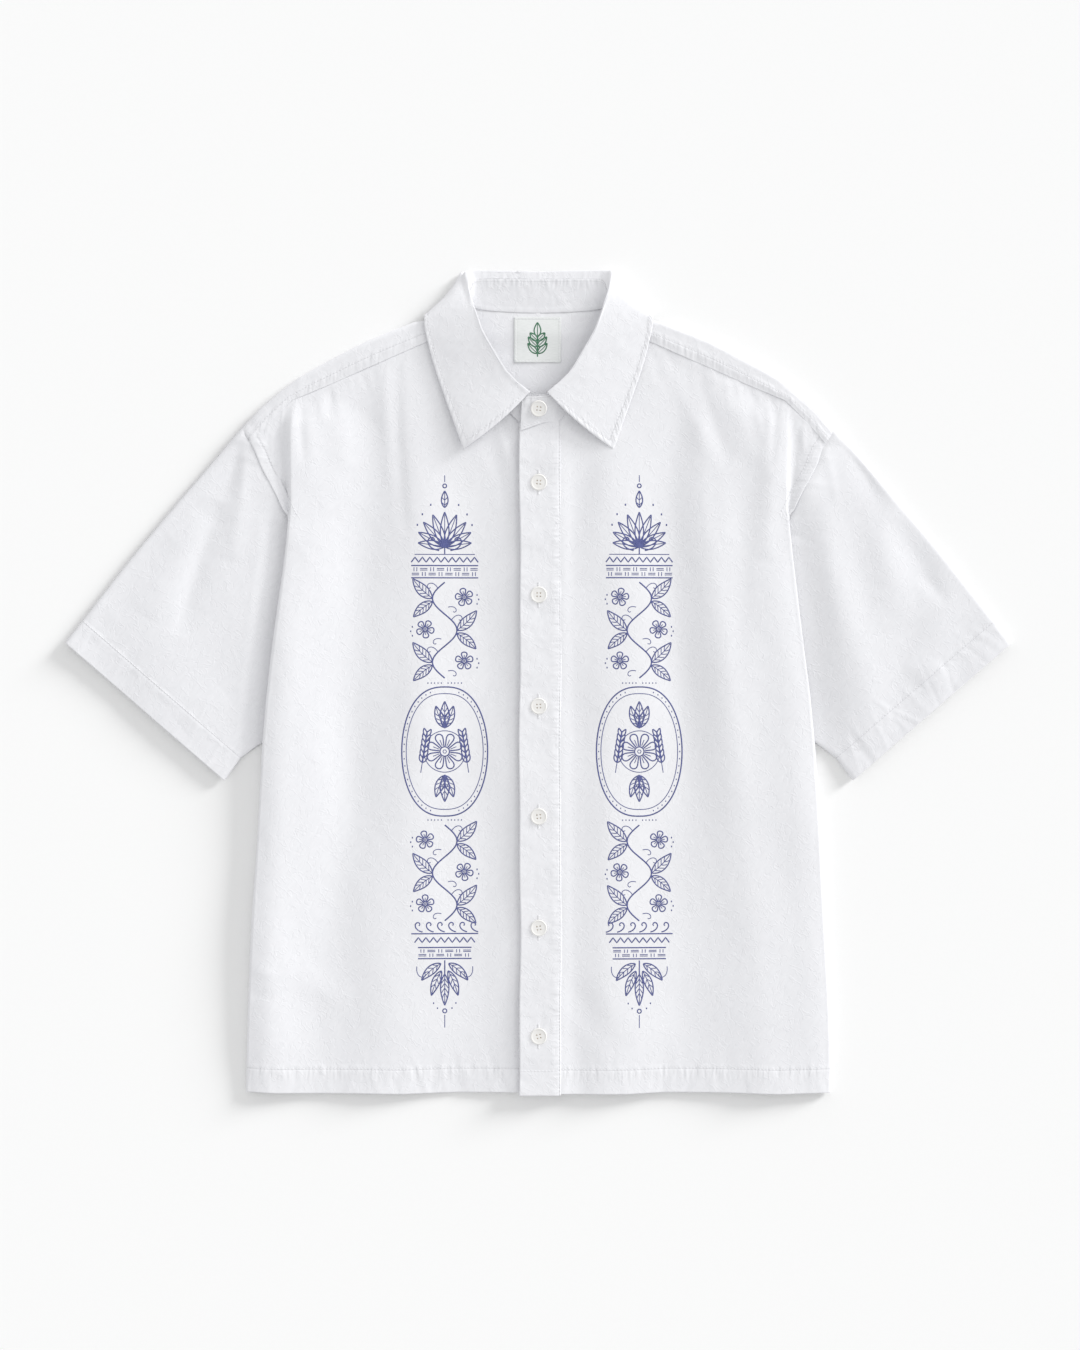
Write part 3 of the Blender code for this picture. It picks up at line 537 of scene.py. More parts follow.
def frontHeight(x, y, side):  # swells running down the panel, then the rise to the side
    form, rest = fronts[side], body["restZ"]
    *levels, kept = form["levels"]
    levels.append(rest + (sideColumn(y, 4) - rest) * kept)
    lines = [20] + [readCurve(y, swells[:, 0], swells[:, index]) for index in form["swells"]]
    z = levels[0]
    for start, end, low, high in zip(lines, lines[1:], levels, levels[1:]):
        z = z + (high - low) * ease(x, start, end - start)
    width = body["shoulderWidth"]
    fall = ramp(x - sideColumn(y, 1) + body["rollWidth"], -width, width)
    z = z - body["shoulderFall"] * fall**2 * fade(y, 100, 50)
    lift = np.interp(side * x, *hemLift.T) * fade(y, body["hemY"], 60)
    calm = (1 - ease(y, 180, 60) * fade(x, 60, 70)) * (0.4 + 0.6 * ease(y, body["hemY"], 25))
    return z + lift + foldField(form["folds"], side * x, y) * calm


def frontLower(column, y, side):
    roll, under, edgeX = body["rollWidth"], body["underRoll"], sideColumn(y, 1)
    seamX, seamZ, flat = sideColumn(y, 2), sideColumn(y, 3), body["frontColumns"]
    x = mix(-body["underlap"], edgeX - roll, ramp(column, 0, flat))
    z = frontHeight(x, y, side)
    share = ramp(column, flat, 6)
    turn = math.pi * (0.5 - ramp(share, 0, 0.8))
    radius = np.where(turn > 0, roll, under)
    skirtX = edgeX - radius + radius * np.cos(turn)
    skirtX = np.where(share > 0.8, mix(edgeX - under, seamX + 0.3, (share - 0.8) / 0.2), skirtX)
    skirtZ = (z + seamZ) / 2 + (z - seamZ) / 2 * np.sin(turn)
    return np.where(column > flat, skirtX, x), np.where(column > flat, skirtZ, z)


def makeFront(name, side):
    hemY, topY, flat, form = body["hemY"], body["topY"], body["frontColumns"], fronts[side]
    across = spread((0, 0.16), (flat, 0.16), 24)
    up = spread((hemY, 0.3), (hemY + 1.2, 1.15), (hemY + 26, 3.4), (topY, 2.2), (topY + 92, 1), topY + 105)

    def shares(column, row):  # how far up to the yoke, out on the side, and clear of the side's roll
        share = np.clip((row - topY) / 100, 0, None)
        return share, ramp(column, flat, 6), ease(share, 0, 0.14)

    def place(column, row):
        share, outer, clear = shares(column, row)
        y0 = np.minimum(row, topY)
        x0, z0 = frontLower(column, y0, side)
        flatX0 = np.where(column > flat, mix(222, 225, outer), x0)
        x1, y1, rise = (np.interp(column, frontTops[:, 0], frontTops[:, index]) for index in (1, 2, 3))
        x, y = mix(flatX0, x1, share), mix(y0, y1, share)
        x = x + (armholeX(y) - mix(225, 257.2, share)) * outer**3 * ease(share * 8)
        x = np.where(outer > 0, mix(x0, x, clear), x)
        level, valley = frontHeight(np.minimum(x, 222), y, side), form["valleyZ"]
        if side == right:  # fills the hollow between this front and the collar
            level += 2.2 * ease(x, 17, 14) * fade(x, 55, 40) * ease(y, 165, 60)
        seam = mix(7.6, form["seamZ"], ease(y, topY, 18))
        level = mix(level, valley, ease(outer * 2.3)) + (seam - valley) * ease(outer, 0.35, 0.65)
        top = mix(form["centreZ"], body["restZ"] + rise, ease(x1, 20, 50))
        late = 0.75 * ease(x1, 100, 80)  # the folds at the side run on up to the yoke
        z = mix(level, top, ease(share, late, 1 - late))
        z = np.where(outer > 0, mix(z0, z, clear), z)
        z = z - 0.35 * ease(share, 1.003, 0.012)  # dives under the yoke
        upper = share > 0
        hem = hemSway(side * x0) * fade(row, hemY, 70)
        return side * np.where(upper, x, x0), np.where(upper, y, y0 + hem), np.where(upper, z, z0)

    def detail(column, row, x, y):
        share, outer, clear = shares(column, row)
        calm = np.where(outer > 0, mix(1 - ramp(outer, 0.35, 0.3), 1, clear), 1)
        calm = calm * (1 - 0.6 * ease(share, 0.93, 0.07))
        fromHem, band = row - hemY, body["hemDepth"]
        height = crumpled(x, y, form["seed"]) + foldField(form["fine"], x, y)
        height += 0.16 * fade(fromHem, band - 1, 1.5) + sewnLine(fromHem, band, 0.25)
        height += puckers(x, fromHem, band, form["seed"] + 5, 10, 0.4, 9)
        gathers = puckers(x, np.abs(1 - share) * 130, 2, form["seed"] + 6, 7, 0.45, 16)
        gathers = gathers * ease(np.abs(x), 60, 20) * (share > 0) * (1 - 0.5 * ease(share, 0.95, 0.05))
        inset, sewn = fromArmhole(x, y), body["armStitch"]
        arm = 0.1 * fade(inset, sewn, 1.4) + roundEdge(inset) + sewnLine(inset, sewn, 0.3, 0.7)
        arm = arm * ease(row, topY + 2, 14) * ease(outer, 0.3, 0.2)
        return height * calm + roundEdge(fromHem) + gathers + arm

    def seams(column, row, x, y):
        fromArm = body["armBand"] - np.where(column > flat, fromArmhole(x, y), 99)
        fromArm = fromArm - 80 * ease((150 - y) / 25)
        return np.where(y > 60, y + 900, x), np.where(y > 60, fromArm, body["hemDepth"] - row + hemY)

    piece = clothPiece(name, across, up, place, detail, body["wall"], turned=side == right, seams=seams)
    return piece


def backHalfWidth(y):
    outline = np.concatenate([bodySides[:8, 0:3:2], armhole[9:0:-1, ::-1], [(225, 265.2)]])
    return np.interp(y, *outline.T)


def makeBack():
    across = spread((-1, 0.018), 1)
    up = spread((body["hemY"], 2.5), (body["hemY"] + 25, 7), 225)

    def place(column, row):
        return column * backHalfWidth(row), row, np.full_like(row, body["backZ"])

    def detail(column, row, x, y):
        hem = sewnLine(row - body["hemY"], body["hemDepth"], 0.2, 1.4)
        return hem - 0.1 * np.abs(waves(x, row, 25, 71))

    piece = clothPiece("back", across, up, place, detail, body["wall"])
    return piece


# Yoke

# x y z of the start on the front seam, x y z of the ridge on the shoulder line, x y of the end on the
# back seam. From the fifth on, the sections wrap over the shoulder.
yokeSections = np.array((
    (0, 330.4, 1.9, 0, 290, 0, 0, 225.3), (30, 331.2, 1.9, 29, 290, 0, 28, 225.3),
    (55, 333.4, 1.9, 53, 290, 0, 51, 225.3), (66, 334.4, 2, 65, 300, 0, 65, 225.3),
    (73.2, 324, 8.3, 73.6, 334.4, 8.3, 78, 225.3), (76, 317, 8.3, 80, 331.6, 8.3, 86, 225.3),
    (90, 310.6, 8.3, 96, 326.6, 8.3, 100, 225.3), (104.2, 304.5, 8.3, 111, 324.4, 8.3, 114, 225.3),
    (124, 295.7, 8.3, 132, 316.4, 8.3, 134, 225.3), (145.2, 286.4, 8.3, 154, 307.4, 8.3, 156, 225.3),
    (164.7, 277.8, 8.4, 174, 297.4, 8.4, 178, 225.3), (184.2, 269, 8.5, 194, 286.6, 8.5, 200, 225.3),
    (203, 261.2, 8.6, 215.5, 274.5, 8.4, 220, 225.3), (221.5, 253.5, 8.6, 232, 262, 8, 236, 225.3),
    (240.2, 234.9, 8.4, 251, 245.6, 7.4, 252, 225.3),
    (257.7, 214.6, 8.2, 266.9, 227.2, 6.8, 265.6, 225.6),
))
shoulder = {"roll": 4, "front": 21, "columnWidth": 20}  # front is from the seam up to the ridge


def yokeLift(x, y):
    return 1.9 * ease(y, 296, 20) * fade(np.abs(x), 110, 12)


def makeYoke():
    across = spread((-15, 0.1), 15)
    up = spread((0, 0.015), (0.06, 0.045), (1, 0.08), (2, 0.04), 3)
    roll = shoulder["roll"]

    def place(column, row):
        side, column = np.sign(column), np.abs(column)
        sections = (np.interp(column, np.arange(16), values) for values in yokeSections.T)
        startX, startY, startZ, ridgeX, ridgeY, ridgeZ, endX, endY = sections
        wrap = ramp(column, 3)
        front = np.hypot(ridgeX - startX, ridgeY - startY)
        back = np.maximum(np.hypot(ridgeX - endX, ridgeY - endY), 0.1)
        theta = math.pi * ramp(row, 1)
        inset = roll * (1 - np.sin(theta))
        reach = np.where(row > 1, 1 - inset / front, ramp(row) * (1 - roll / front))
        x, y = mix(startX, ridgeX, reach), mix(startY, ridgeY, reach)
        toBack = np.minimum(inset / back, 0.6)
        toBack = np.where(row > 2, mix(np.minimum(roll / back, 0.6), 1, row - 2), toBack)
        behind = row > 1.5
        x = np.where(behind, mix(ridgeX, endX, toBack), x)
        y = np.where(behind, mix(ridgeY, endY, toBack), y)
        floor = yokeLift(x, y)
        z = np.where(row < 1, mix(startZ, ridgeZ, reach), mix(floor, ridgeZ, (1 + np.cos(theta)) / 2))
        z = np.where(row > 2, floor, z)
        plain = np.where(row < 2, 0.12 * row, mix(0.24, 1, row - 2))
        plainX, plainY = mix(startX, endX, plain), mix(startY, endY, plain)
        x, y, z = mix(plainX, x, wrap), mix(plainY, y, wrap), mix(yokeLift(plainX, plainY), z, wrap)
        atNeck = ease(y, 318, 12) * (1 - wrap)
        edge = fade(row * 2.2) * wrap  # its front edge lies down on the fronts
        return side * x, y + 2.6 * atNeck * (row < 0.5), z + 0.25 + 0.1 * atNeck - 0.75 * edge

    def detail(column, row, x, y):
        column, band = np.abs(column), body["yokeBand"]
        wrap = ramp(column, 3)
        fromSeam, fromTip = ramp(row) * shoulder["front"], (15 - column) * shoulder["columnWidth"]
        height = 0.2 * waves(x, y, 60, 31) - 0.12 * np.abs(waves(x, y, 22, 32))
        height += 0.15 * fade(fromSeam, band - 0.8, 1.4) + sewnLine(fromSeam, band, 0.25)
        height += roundEdge(fromSeam) + sewnLine(fromTip, body["armStitch"], 0.3, 0.7) + roundEdge(fromTip)
        inside = 0.05 * np.abs(waves(x, y, 14, 34))
        return height * wrap * fade(row, 0.9, 0.6) - inside * (1 - wrap)

    def seams(column, row, x, y):
        return x, np.where(np.abs(column) > 3.6, body["yokeBand"] - ramp(row) * shoulder["front"], 90)

    piece = clothPiece("yoke", across, up, place, detail, body["wall"], seams=seams)
    return piece


# Sleeves

sleeve = {
    "cuffTop": np.array((425, 36)),
    "cuffBottom": np.array((282, -88)),
    "bulge": (2.4, 2),
    "topZ": 6.4,
    "lowerZ": 0.9,
    "edge": 5,
    "hemDepth": 25,
    "girthIn": 290,
    "hemShare": 0.87,  # of the sleeve's length, where the cuff's hem begins
    "underarmDip": 3,
    "underarmReach": 45,
    "wall": 0.8,
}
# bodyDip is how far the sleeve sinks beside the body, from dipStart over dipReach
sleeves = {
    right: {
        "bodyDip": 4.6,
        "dipStart": 3,
        "dipReach": 23,
        "turnIn": 1,
        "seed": 21,
        "folds": (
            (10, -1.4, 0, -267, 216, -286, 164), (13, -1.6, 0, -286, 164, -324, 43),
            (10, 1.4, 0, -262, 195, -276, 110), (16, 1.4, 0, -300, 150, -352, 60),
            (14, -1.2, 0, -330, 130, -390, 70), (16, 0.7, 0, -282, -10, -320, -40),
            (4, -0.6, 0, -268, 218, -272, 196, -280, 170), (4, 0.5, 0, -264, 212, -264, 190, -268, 160),
            (6, -0.7, 0, -286, 160, -305, 110, -324, 43),
        ),
    },
    left: {
        "bodyDip": 2.8,
        "dipStart": 2,
        "dipReach": 34,
        "turnIn": 1.8,
        "seed": 22,
        "folds": (
            (17, 2.4, 0, 248, 188, 256, 150, 262, 111, 272, 75, 282, 39, 290, 0, 294, -60),
            (11, -1.3, 0, 269, 221, 314, 151), (13, -1.5, 0, 314, 151, 366, 72),
            (15, 1.2, 0, 300, 150, 330, 50), (12, 1.2, 0, 330, 20, 372, -4),
            (4.5, -0.6, 0, 269, 221, 289, 194, 305, 165), (4.5, 0.5, 0, 274, 219, 300, 192, 322, 160),
            (4, 0.5, 0, 258, 211, 263, 186, 268, 160), (6, -0.7, 0, 343, 101, 366, 72),
        ),
    },
}


def lineReader(points):  # reads a polyline by its share of length, as a smooth curve
    lengths = np.concatenate([[0], np.cumsum(np.linalg.norm(np.diff(points, axis=0), axis=1))])
    shares = lengths / lengths[-1]
    return lambda at: (readCurve(at, shares, points[:, 0]), readCurve(at, shares, points[:, 1]))


cuffRun = sleeve["cuffBottom"] - sleeve["cuffTop"]
cuffWidth = float(np.linalg.norm(cuffRun))
cuffRun = cuffRun / cuffWidth


def cuffPlace(x, y):  # distance in from the cuff's edge, and along it
    offX, offY = np.abs(x) - sleeve["cuffTop"][0], y - sleeve["cuffTop"][1]
    return offX * cuffRun[1] - offY * cuffRun[0], offX * cuffRun[0] + offY * cuffRun[1]


def makeSleeve(name, side):
    armLine, form = lineReader(armhole), sleeves[side]
    cuffTop, cuffBottom = sleeve["cuffTop"], sleeve["cuffBottom"]
    inward = np.array((cuffRun[1], -cuffRun[0])) * sleeve["hemDepth"]
    hemTop, hemBottom = cuffTop + inward + (0.6, 0), cuffBottom + inward + (1, 0)

    def packed(share):  # closer together at both edges
        return 0.7 * share + 0.15 * (1 - np.cos(math.pi * share))

    around = np.concatenate([packed(np.linspace(0, 1, 141)[:-1]), 2 - packed(2 - np.linspace(1, 2, 46))])
    rings = spread((-0.05, 0.012), (1, 0.045), (1.96, 0.01), 2)

    def place(column, ring):
        upper = column <= 1
        station = np.where(upper, column, 2 - column)
        hemShare = sleeve["hemShare"]
        share = np.where(ring <= 1, ring * hemShare, hemShare + (1 - hemShare) * (ring - 1))
        bow = 4 * share * (1 - share)
        along, past = station[..., None], ring[..., None]
        arm, hem = np.stack(armLine(station), axis=-1), mix(hemTop, hemBottom, along)
        onto = np.where(past <= 1, mix(arm, hem, past), mix(hem, mix(cuffTop, cuffBottom, along), past - 1))
        x, y = (onto[..., axis] + sleeve["bulge"][axis] * bow for axis in (0, 1))
        inset = np.minimum(station, 1 - station) * mix(sleeve["girthIn"], cuffWidth, ramp(share))
        roundOff = np.sqrt(np.clip(1 - (1 - np.minimum(inset / sleeve["edge"], 1)) ** 2, 0, 1))
        underarm = np.hypot(x - armhole[-1, 0], y - armhole[-1, 1])
        top = sleeve["topZ"] - sleeve["underarmDip"] * bell(underarm, sleeve["underarmReach"])
        beside = x - sideColumn(y, 1)
        dip = form["bodyDip"] * fade(beside, form["dipStart"], form["dipReach"]) * ease(beside, -30, 25)
        top = top + foldField(form["folds"], side * x, y) * ease(beside, 2, 16) - dip * fade(y, 130, 50)
        head = mix(0.6, 1.9, ease(y, 150, 20)) if side == left else 0.6
        top = top + head * fade(ring * 9) * ease(y, 140, 12)
        top = top - form["turnIn"] * ease(-ring, -0.002, 0.012) * ease(y, 140, 12)  # in under the front
        top = (top + 2 + np.hypot(top - 2, 0.8)) / 2  # stays above its own lower layer
        middle = np.where((station >= 0.5) & (inset < sleeve["edge"]), top, sleeve["topZ"]) / 2
        return side * x, y, mix(middle, np.where(upper, top, sleeve["lowerZ"]), roundOff)

    def detail(column, ring, x, y):
        band, seed = sleeve["hemDepth"], form["seed"]
        top = np.where(column <= 1, 1, 0.25)
        fromCuff, alongCuff = cuffPlace(x, y)
        height = crumpled(x, y, seed) * ease(np.abs(x) - sideColumn(y, 1), 0, 20) * top
        height += 0.12 * fade(fromCuff, band - 1, 1.5) + sewnLine(fromCuff, band, 0.3) + roundEdge(fromCuff)
        height += puckers(alongCuff, fromCuff, band, seed + 3, 12, 0.42, 12) * top
        upper = ease(np.minimum(column, 2 - column) * 30)
        height += puckers(y, np.clip(ring, 0, None) * 200, 1, seed + 4, 9, 0.5, 16) * top * upper
        return height * np.where(column <= 1, 1, 0.5)

    def seams(column, ring, x, y):  # tighter along and narrower than on the body
        fromCuff, alongCuff = cuffPlace(x, y)
        return alongCuff * 0.42, (sleeve["hemDepth"] - fromCuff) * 1.6

    piece = clothPiece(
        name, around, rings, place, detail, sleeve["wall"], turned=side == right, tube=True, seams=seams
    )
    return piece


# Collar

# x y z of the foot, seam, fold, middle and edge of one half, from the front edge round to the back
collarSections = np.array((
    (9, 233.9, 7.6, 9.6, 258.6, 11.8, 7.4, 260.6, 16.4, 36.5, 232.6, 15, 67.5, 209.5, 8.8),
    (17, 234, 7.6, 18.4, 266.2, 12.6, 13.8, 265.6, 16.8, 43, 242, 14.8, 72, 222, 8.9),
    (32.6, 251.4, 7.4, 26, 272, 13.6, 20.6, 271.6, 17, 50, 253, 14.4, 77, 236, 9.2),
    (41, 263.6, 7.6, 33.6, 280.8, 14.2, 28.4, 279.6, 17.4, 57, 263, 14.2, 82.4, 251, 9.5),
    (48.4, 276.2, 8, 39.6, 290, 14.6, 34.4, 289.2, 17.8, 63, 276, 14.2, 87.6, 266, 9.8),
    (54.6, 287.6, 8.4, 44.6, 299.2, 15, 39.8, 298.2, 17.9, 68, 287.6, 14, 92.4, 280, 10.1),
    (60.4, 299, 8.8, 50.6, 309.6, 15.2, 45.6, 308.2, 18.2, 73, 300, 14.2, 96.6, 294, 10.6),
    (65.4, 309.2, 9.2, 55, 318.8, 15.2, 50.4, 317.6, 18.3, 77.4, 312, 14.2, 100, 308, 10.8),
    (69.6, 319.4, 9.6, 59.6, 328.4, 15, 55, 330.6, 18.2, 80.6, 326.4, 14, 102.4, 318.6, 11),
    (70.6, 327.6, 9.8, 61.4, 336.6, 14.6, 57.8, 338.4, 17.6, 82.4, 337, 13.2, 102.9, 327.4, 10.4),
    (70.2, 333.4, 9.8, 62.2, 343, 13.8, 60.2, 345.4, 16.6, 84.6, 343.2, 11, 102.4, 330.4, 4.6),
    (69, 338, 9, 62.2, 348.8, 12.4, 62.4, 352, 15.2, 83.6, 347.8, 8, 97.4, 327, 0),
    (66, 340, 7.4, 61, 354.4, 10.6, 64.2, 359.6, 12.8, 77.6, 355.2, 4.6, 88, 324, 0),
    (62.4, 338.6, 5.6, 58.8, 359.8, 8.2, 65.7, 368.6, 9.5, 71.6, 363.4, 1.4, 78, 322.4, 0),
    (56.8, 335.6, 4.2, 54.4, 362.4, 6, 60.6, 370.4, 6.2, 60.4, 363.2, 0, 64, 322, 0),
    (44, 333.4, 3.8, 44, 363, 5.4, 45, 370.5, 4.8, 44, 362.4, 0, 46, 322, 0),
    (22, 332, 3.6, 22, 363, 5.2, 22, 370.2, 4.6, 22, 362, 0, 23, 322, 0),
    (0, 331.4, 3.6, 0, 362.8, 5.2, 0, 369.7, 4.5, 0, 361.4, 0, 0, 322, 0),
))
# foot and seam of the stand's ends, which reach past the leaf's
standEnds = np.array((
    (-16.6, 233.9, 7.6, -15, 255.4, 12), (-9, 233.9, 7.6, -9, 258.4, 12.6),
    (0, 233.9, 7.6, 0, 258.8, 12.6),
))
collar = {
    "leafWall": 1.2,
    "standWall": 0.8,
    "foldReach": 5,
    "leafFall": 62,  # from the fold to the free edge
    "leafColumn": 13,  # one section's width at the front edge
    "standRise": 28,
    "stitchInset": 5,
    "cornerDrop": 4.2,
    "seamTuck": 2.1,
    "lap": 1.25,  # the left end of the stand lies on the right one
    "tipCurl": 4.2,
}
leafEnd, standEnd = 17, 20  # the sections' count from the back to the front edge


def standLap(index, side):
    return side * collar["lap"] * fade(index, 2, 4)


def collarRead(table, index):  # the points of a section table, read smoothly at index
    keys = np.arange(len(table))
    values = [readCurve(index, keys, column) for column in table.T]
    return [np.stack(values[start:start + 3], axis=-1) for start in range(0, len(values), 3)]


def cornerDrop(index, side, tuck=0):  # the fold lies lower over the right shoulder, its seam close under it
    drop = collar["cornerDrop"] * bell(index - 10.5, 3.2) - tuck * bell(index - 12.1, 1.4)
    return np.where(side == right, drop, 0)


def leafPoints(column, row):  # column 0 is the back, row goes to 1 over the fold and to 2 down the leaf
    side = np.where(column >= 0, left, right)
    index = leafEnd - np.abs(column)
    _, seam, fold, middle, edge = collarRead(collarSections, index)
    lap, drop = standLap(index + 3, side), cornerDrop(index, side)
    seam[..., 2] += lap - cornerDrop(index, side, collar["seamTuck"])
    fold[..., 2] += lap * 0.7 - drop
    middle[..., 2] -= 0.35 * drop
    toMiddle = middle - fold
    start = fold + toMiddle / np.linalg.norm(toMiddle, axis=-1, keepdims=True) * collar["foldReach"]
    pull = (8 * fold - seam - start) / 6
    t = ramp(row)[..., None]
    over = (1 - t) ** 3 * seam + 3 * t * (1 - t) * pull + t**3 * start
    bend = 2 * middle - (start + edge) / 2
    t = ramp(row, 1)[..., None]
    fall = (1 - t) ** 2 * start + 2 * t * (1 - t) * bend + t**2 * edge
    curl = np.where(side == right, collar["tipCurl"], 0.3)
    fall[..., 2] += curl * ease(row, 1.15, 0.85) * fade(index / 6)
    x, y, z = np.moveaxis(np.where(row[..., None] <= 1, over, fall), -1, 0)
    return side * x, y, np.maximum(z, 0.05)


def leafInsets(column, row):  # distances from the leaf's lower and front edges
    return (2 - row) * collar["leafFall"], (leafEnd - np.abs(column)) * collar["leafColumn"]


def collarGathers(x, rise):
    return puckers(np.clip(x, -70, 70), rise, 3, 63, 6.5, 0.4, 7)


def makeCollarLeaf():
    across = mirroredLines(spread((0, 0.05), (3.2, 0.13), (15, 0.1), (16, 0.055), (16.9, 0.025), leafEnd))
    up = spread((0, 0.015), (0.03, 0.08), (1, 0.04), (1.84, 0.018), (1.97, 0.01), 2)
    at = collar["stitchInset"]

    def detail(column, row, x, y):
        fromEdge, fromFront = leafInsets(column, row)
        near, outer = np.minimum(fromEdge, fromFront), ease(row, 1, 0.2)
        height = 0.12 * waves(x, y, 45, 51) - 0.08 * np.abs(waves(x, y, 16, 52))
        height += 0.14 * fade(near, at - 0.6, 1.2) + sewnLine(near, at, 0.3, 0.7)
        height += roundEdge(near, 1) + 0.2 * bell(near - 1.6, 1.1)
        return height * outer + (roundEdge(fromFront, 1) + collarGathers(x, row * 9)) * (1 - outer)

    def seams(column, row, x, y):
        fromEdge, fromFront = leafInsets(column, row)
        near = np.where(row > 1.1, np.minimum(fromEdge, fromFront), 99)
        return fromFront - fromEdge, (at - near) * 1.6

    piece = clothPiece("collar_leaf", across, up, leafPoints, detail, collar["leafWall"], seams=seams)
    return piece


def makeCollarStand():
    across = mirroredLines(spread((0, 0.05), (3.2, 0.1), standEnd))
    up = spread((0, 0.008), (0.016, 0.05), (0.984, 0.008), 1)
    table = np.concatenate([standEnds, collarSections[:, :6]])

    def place(column, row):
        side = np.where(column >= 0, left, right)
        index = standEnd - np.abs(column)
        foot, seam = collarRead(table, index)
        seam[..., 2] -= cornerDrop(index - 3, side, collar["seamTuck"])
        reach = np.linalg.norm(seam - foot, axis=-1)
        x, y, z = np.moveaxis(mix(foot, seam, (row * (reach - 0.02) / reach)[..., None]), -1, 0)
        x = side * x
        front, foot = fade(index, 1, 4), 1 - row
        slope = np.where(side > 0, (x + 17) * 0.33 - 7.9, 0) * front * foot
        slope = slope - np.where(side > 0, 2.2, 0) * bell(x + 3, 9) * row * front
        lift = np.where(side > 0, 1.6, 0.2) * front * foot
        sink = 1.35 * ease(index, 12, 4) * foot  # down onto the yoke at the back
        return x, y + slope, z + standLap(index, side) + lift - sink

    def detail(column, row, x, y):
        rise, full = row * collar["standRise"], collar["standRise"]
        height = 0.1 * waves(x, y, 40, 62) - 0.1 * np.abs(waves(x, y, 14, 61))
        height += sewnLine(rise, 3.5, 0.25, 0.8) + sewnLine(rise, 25.8, 0.2, 0.8) + roundEdge(rise, 0.5)
        return height + collarGathers(x, full - rise) + puckers(x, rise, 3, 64, 7.5, 0.12, 5)

    def seams(column, row, x, y):
        return x, (26.2 - row * collar["standRise"]) * 1.6

    wall = collar["standWall"]
    piece = clothPiece("collar_stand", across, up, place, detail, wall, turned=True, seams=seams)
    return piece


# Placket and trims

placket = {
    "edges": (-16.9, 20.2),
    "ends": (-370.5, 236),
    "topZ": 9.7,
    "freeLift": 0.6,
    "wall": 1.1,
    "stitchX": 19.2,
    "buttonX": 0.2,
    "buttonY": (180, 79.2, -20.7, -119.7, -219.6, -316.8),
}


trims = {
    "standZ": 6.5,
    "standWall": 0.9,
    "labelX": (-21.9, 20.1),
    "labelY": (288.3, 328.9),
    "labelHem": 1.6,
    "labelLift": 1.9,
    "labelWall": 0.6,
}


def makePlacket():
    edges, ends = placket["edges"], placket["ends"]
    across = spread((edges[0], 0.4), (edges[0] + 1.6, 1.3), (15, 0.65), edges[1])
    up = spread((ends[0], 0.4), (ends[0] + 1.6, 2.1), ends[1])

    def place(column, row):
        fromFold = column - edges[0]
        z = placket["topZ"] + placket["freeLift"] * (1 - fromFold / (edges[1] - edges[0])) ** 3
        z = z - 0.5 * ease(column, 12, 8) - 0.4 * ease(row, 216, 12)
        y = row + (fromFold * 0.24 - 2.4) * ease(row, 200, 32)
        return column + 0.5 * np.sin(row / 47) + 0.35 * np.sin(row / 19 + 1), y, z

    def detail(column, row, x, y):
        fromFold, fromEnd = column - edges[0], row - ends[0]
        height = 0.22 * waves(x * 0.6, row, 42, 81) - 0.1 * np.abs(waves(x, row, 15, 82))
        height += roundEdge(fromFold, 1.2) + roundEdge(edges[1] - column) + roundEdge(fromEnd, 1)
        height += sewnLine(column, placket["stitchX"], 0.4, 0.8) + sewnLine(fromEnd, 22, 0.3)
        height += puckers(row, fromFold, 0, 84, 12, 0.35, 10)
        for buttonY in placket["buttonY"]:
            height -= 0.5 * bell(np.hypot(column - placket["buttonX"], (row - buttonY) * 0.8), 9)
        return height

    def seams(column, row, x, y):
        return row, (edges[1] - 1 - column) * 1.3

    piece = clothPiece("placket", across, up, place, detail, placket["wall"], seams=seams)
    return piece


def makeButtonStand():
    across, up = spread((-15, 2.5), 15), spread((body["hemY"], 6), 231)

    def place(column, row):
        return column, row, np.full_like(row, trims["standZ"])

    def detail(column, row, x, y):
        return -0.1 * np.abs(waves(column, row, 18, 91))

    piece = clothPiece("button_stand", across, up, place, detail, trims["standWall"])
    return piece




def makeLabel():
    (x0, x1), (y0, y1), hem = trims["labelX"], trims["labelY"], trims["labelHem"]

    def place(column, row):
        return column, row, yokeLift(column, row) + trims["labelLift"]

    def detail(column, row, x, y):
        inset = np.minimum(np.minimum(column - x0, x1 - column), np.minimum(row - y0, y1 - row))
        return 0.25 * bell(inset, hem) + 0.12 * waves(column, row, 26, 95) + sewnLine(inset, hem, 0.3, 0.6)

    across, up = spread((x0, 1), x1), spread((y0, 1), y1)
    piece = clothPiece("label", across, up, place, detail, trims["labelWall"], material=satinFinish)
    return piece


frontRight, frontLeft = makeFront("front_right", right), makeFront("front_left", left)
makeBack()
yoke = makeYoke()
sleeveRight, sleeveLeft = makeSleeve("sleeve_right", right), makeSleeve("sleeve_left", left)
leaf, stand, placketPiece = makeCollarLeaf(), makeCollarStand(), makePlacket()
makeButtonStand()
label = makeLabel()
print("cloth done")


# Buttons

buttonForm = {
    "radius": 7.5,
    "dish": 5.9,
    "rimHeight": 2.8,
    "dishHeight": 2.4,
    "holeRadius": 0.65,
    "holeRing": 2.1,
    "knotRadius": 0.56,
    "collarPlace": (0.2, 246, 13.9),
    "collarTilt": 9,
    "z": 9.75,
}


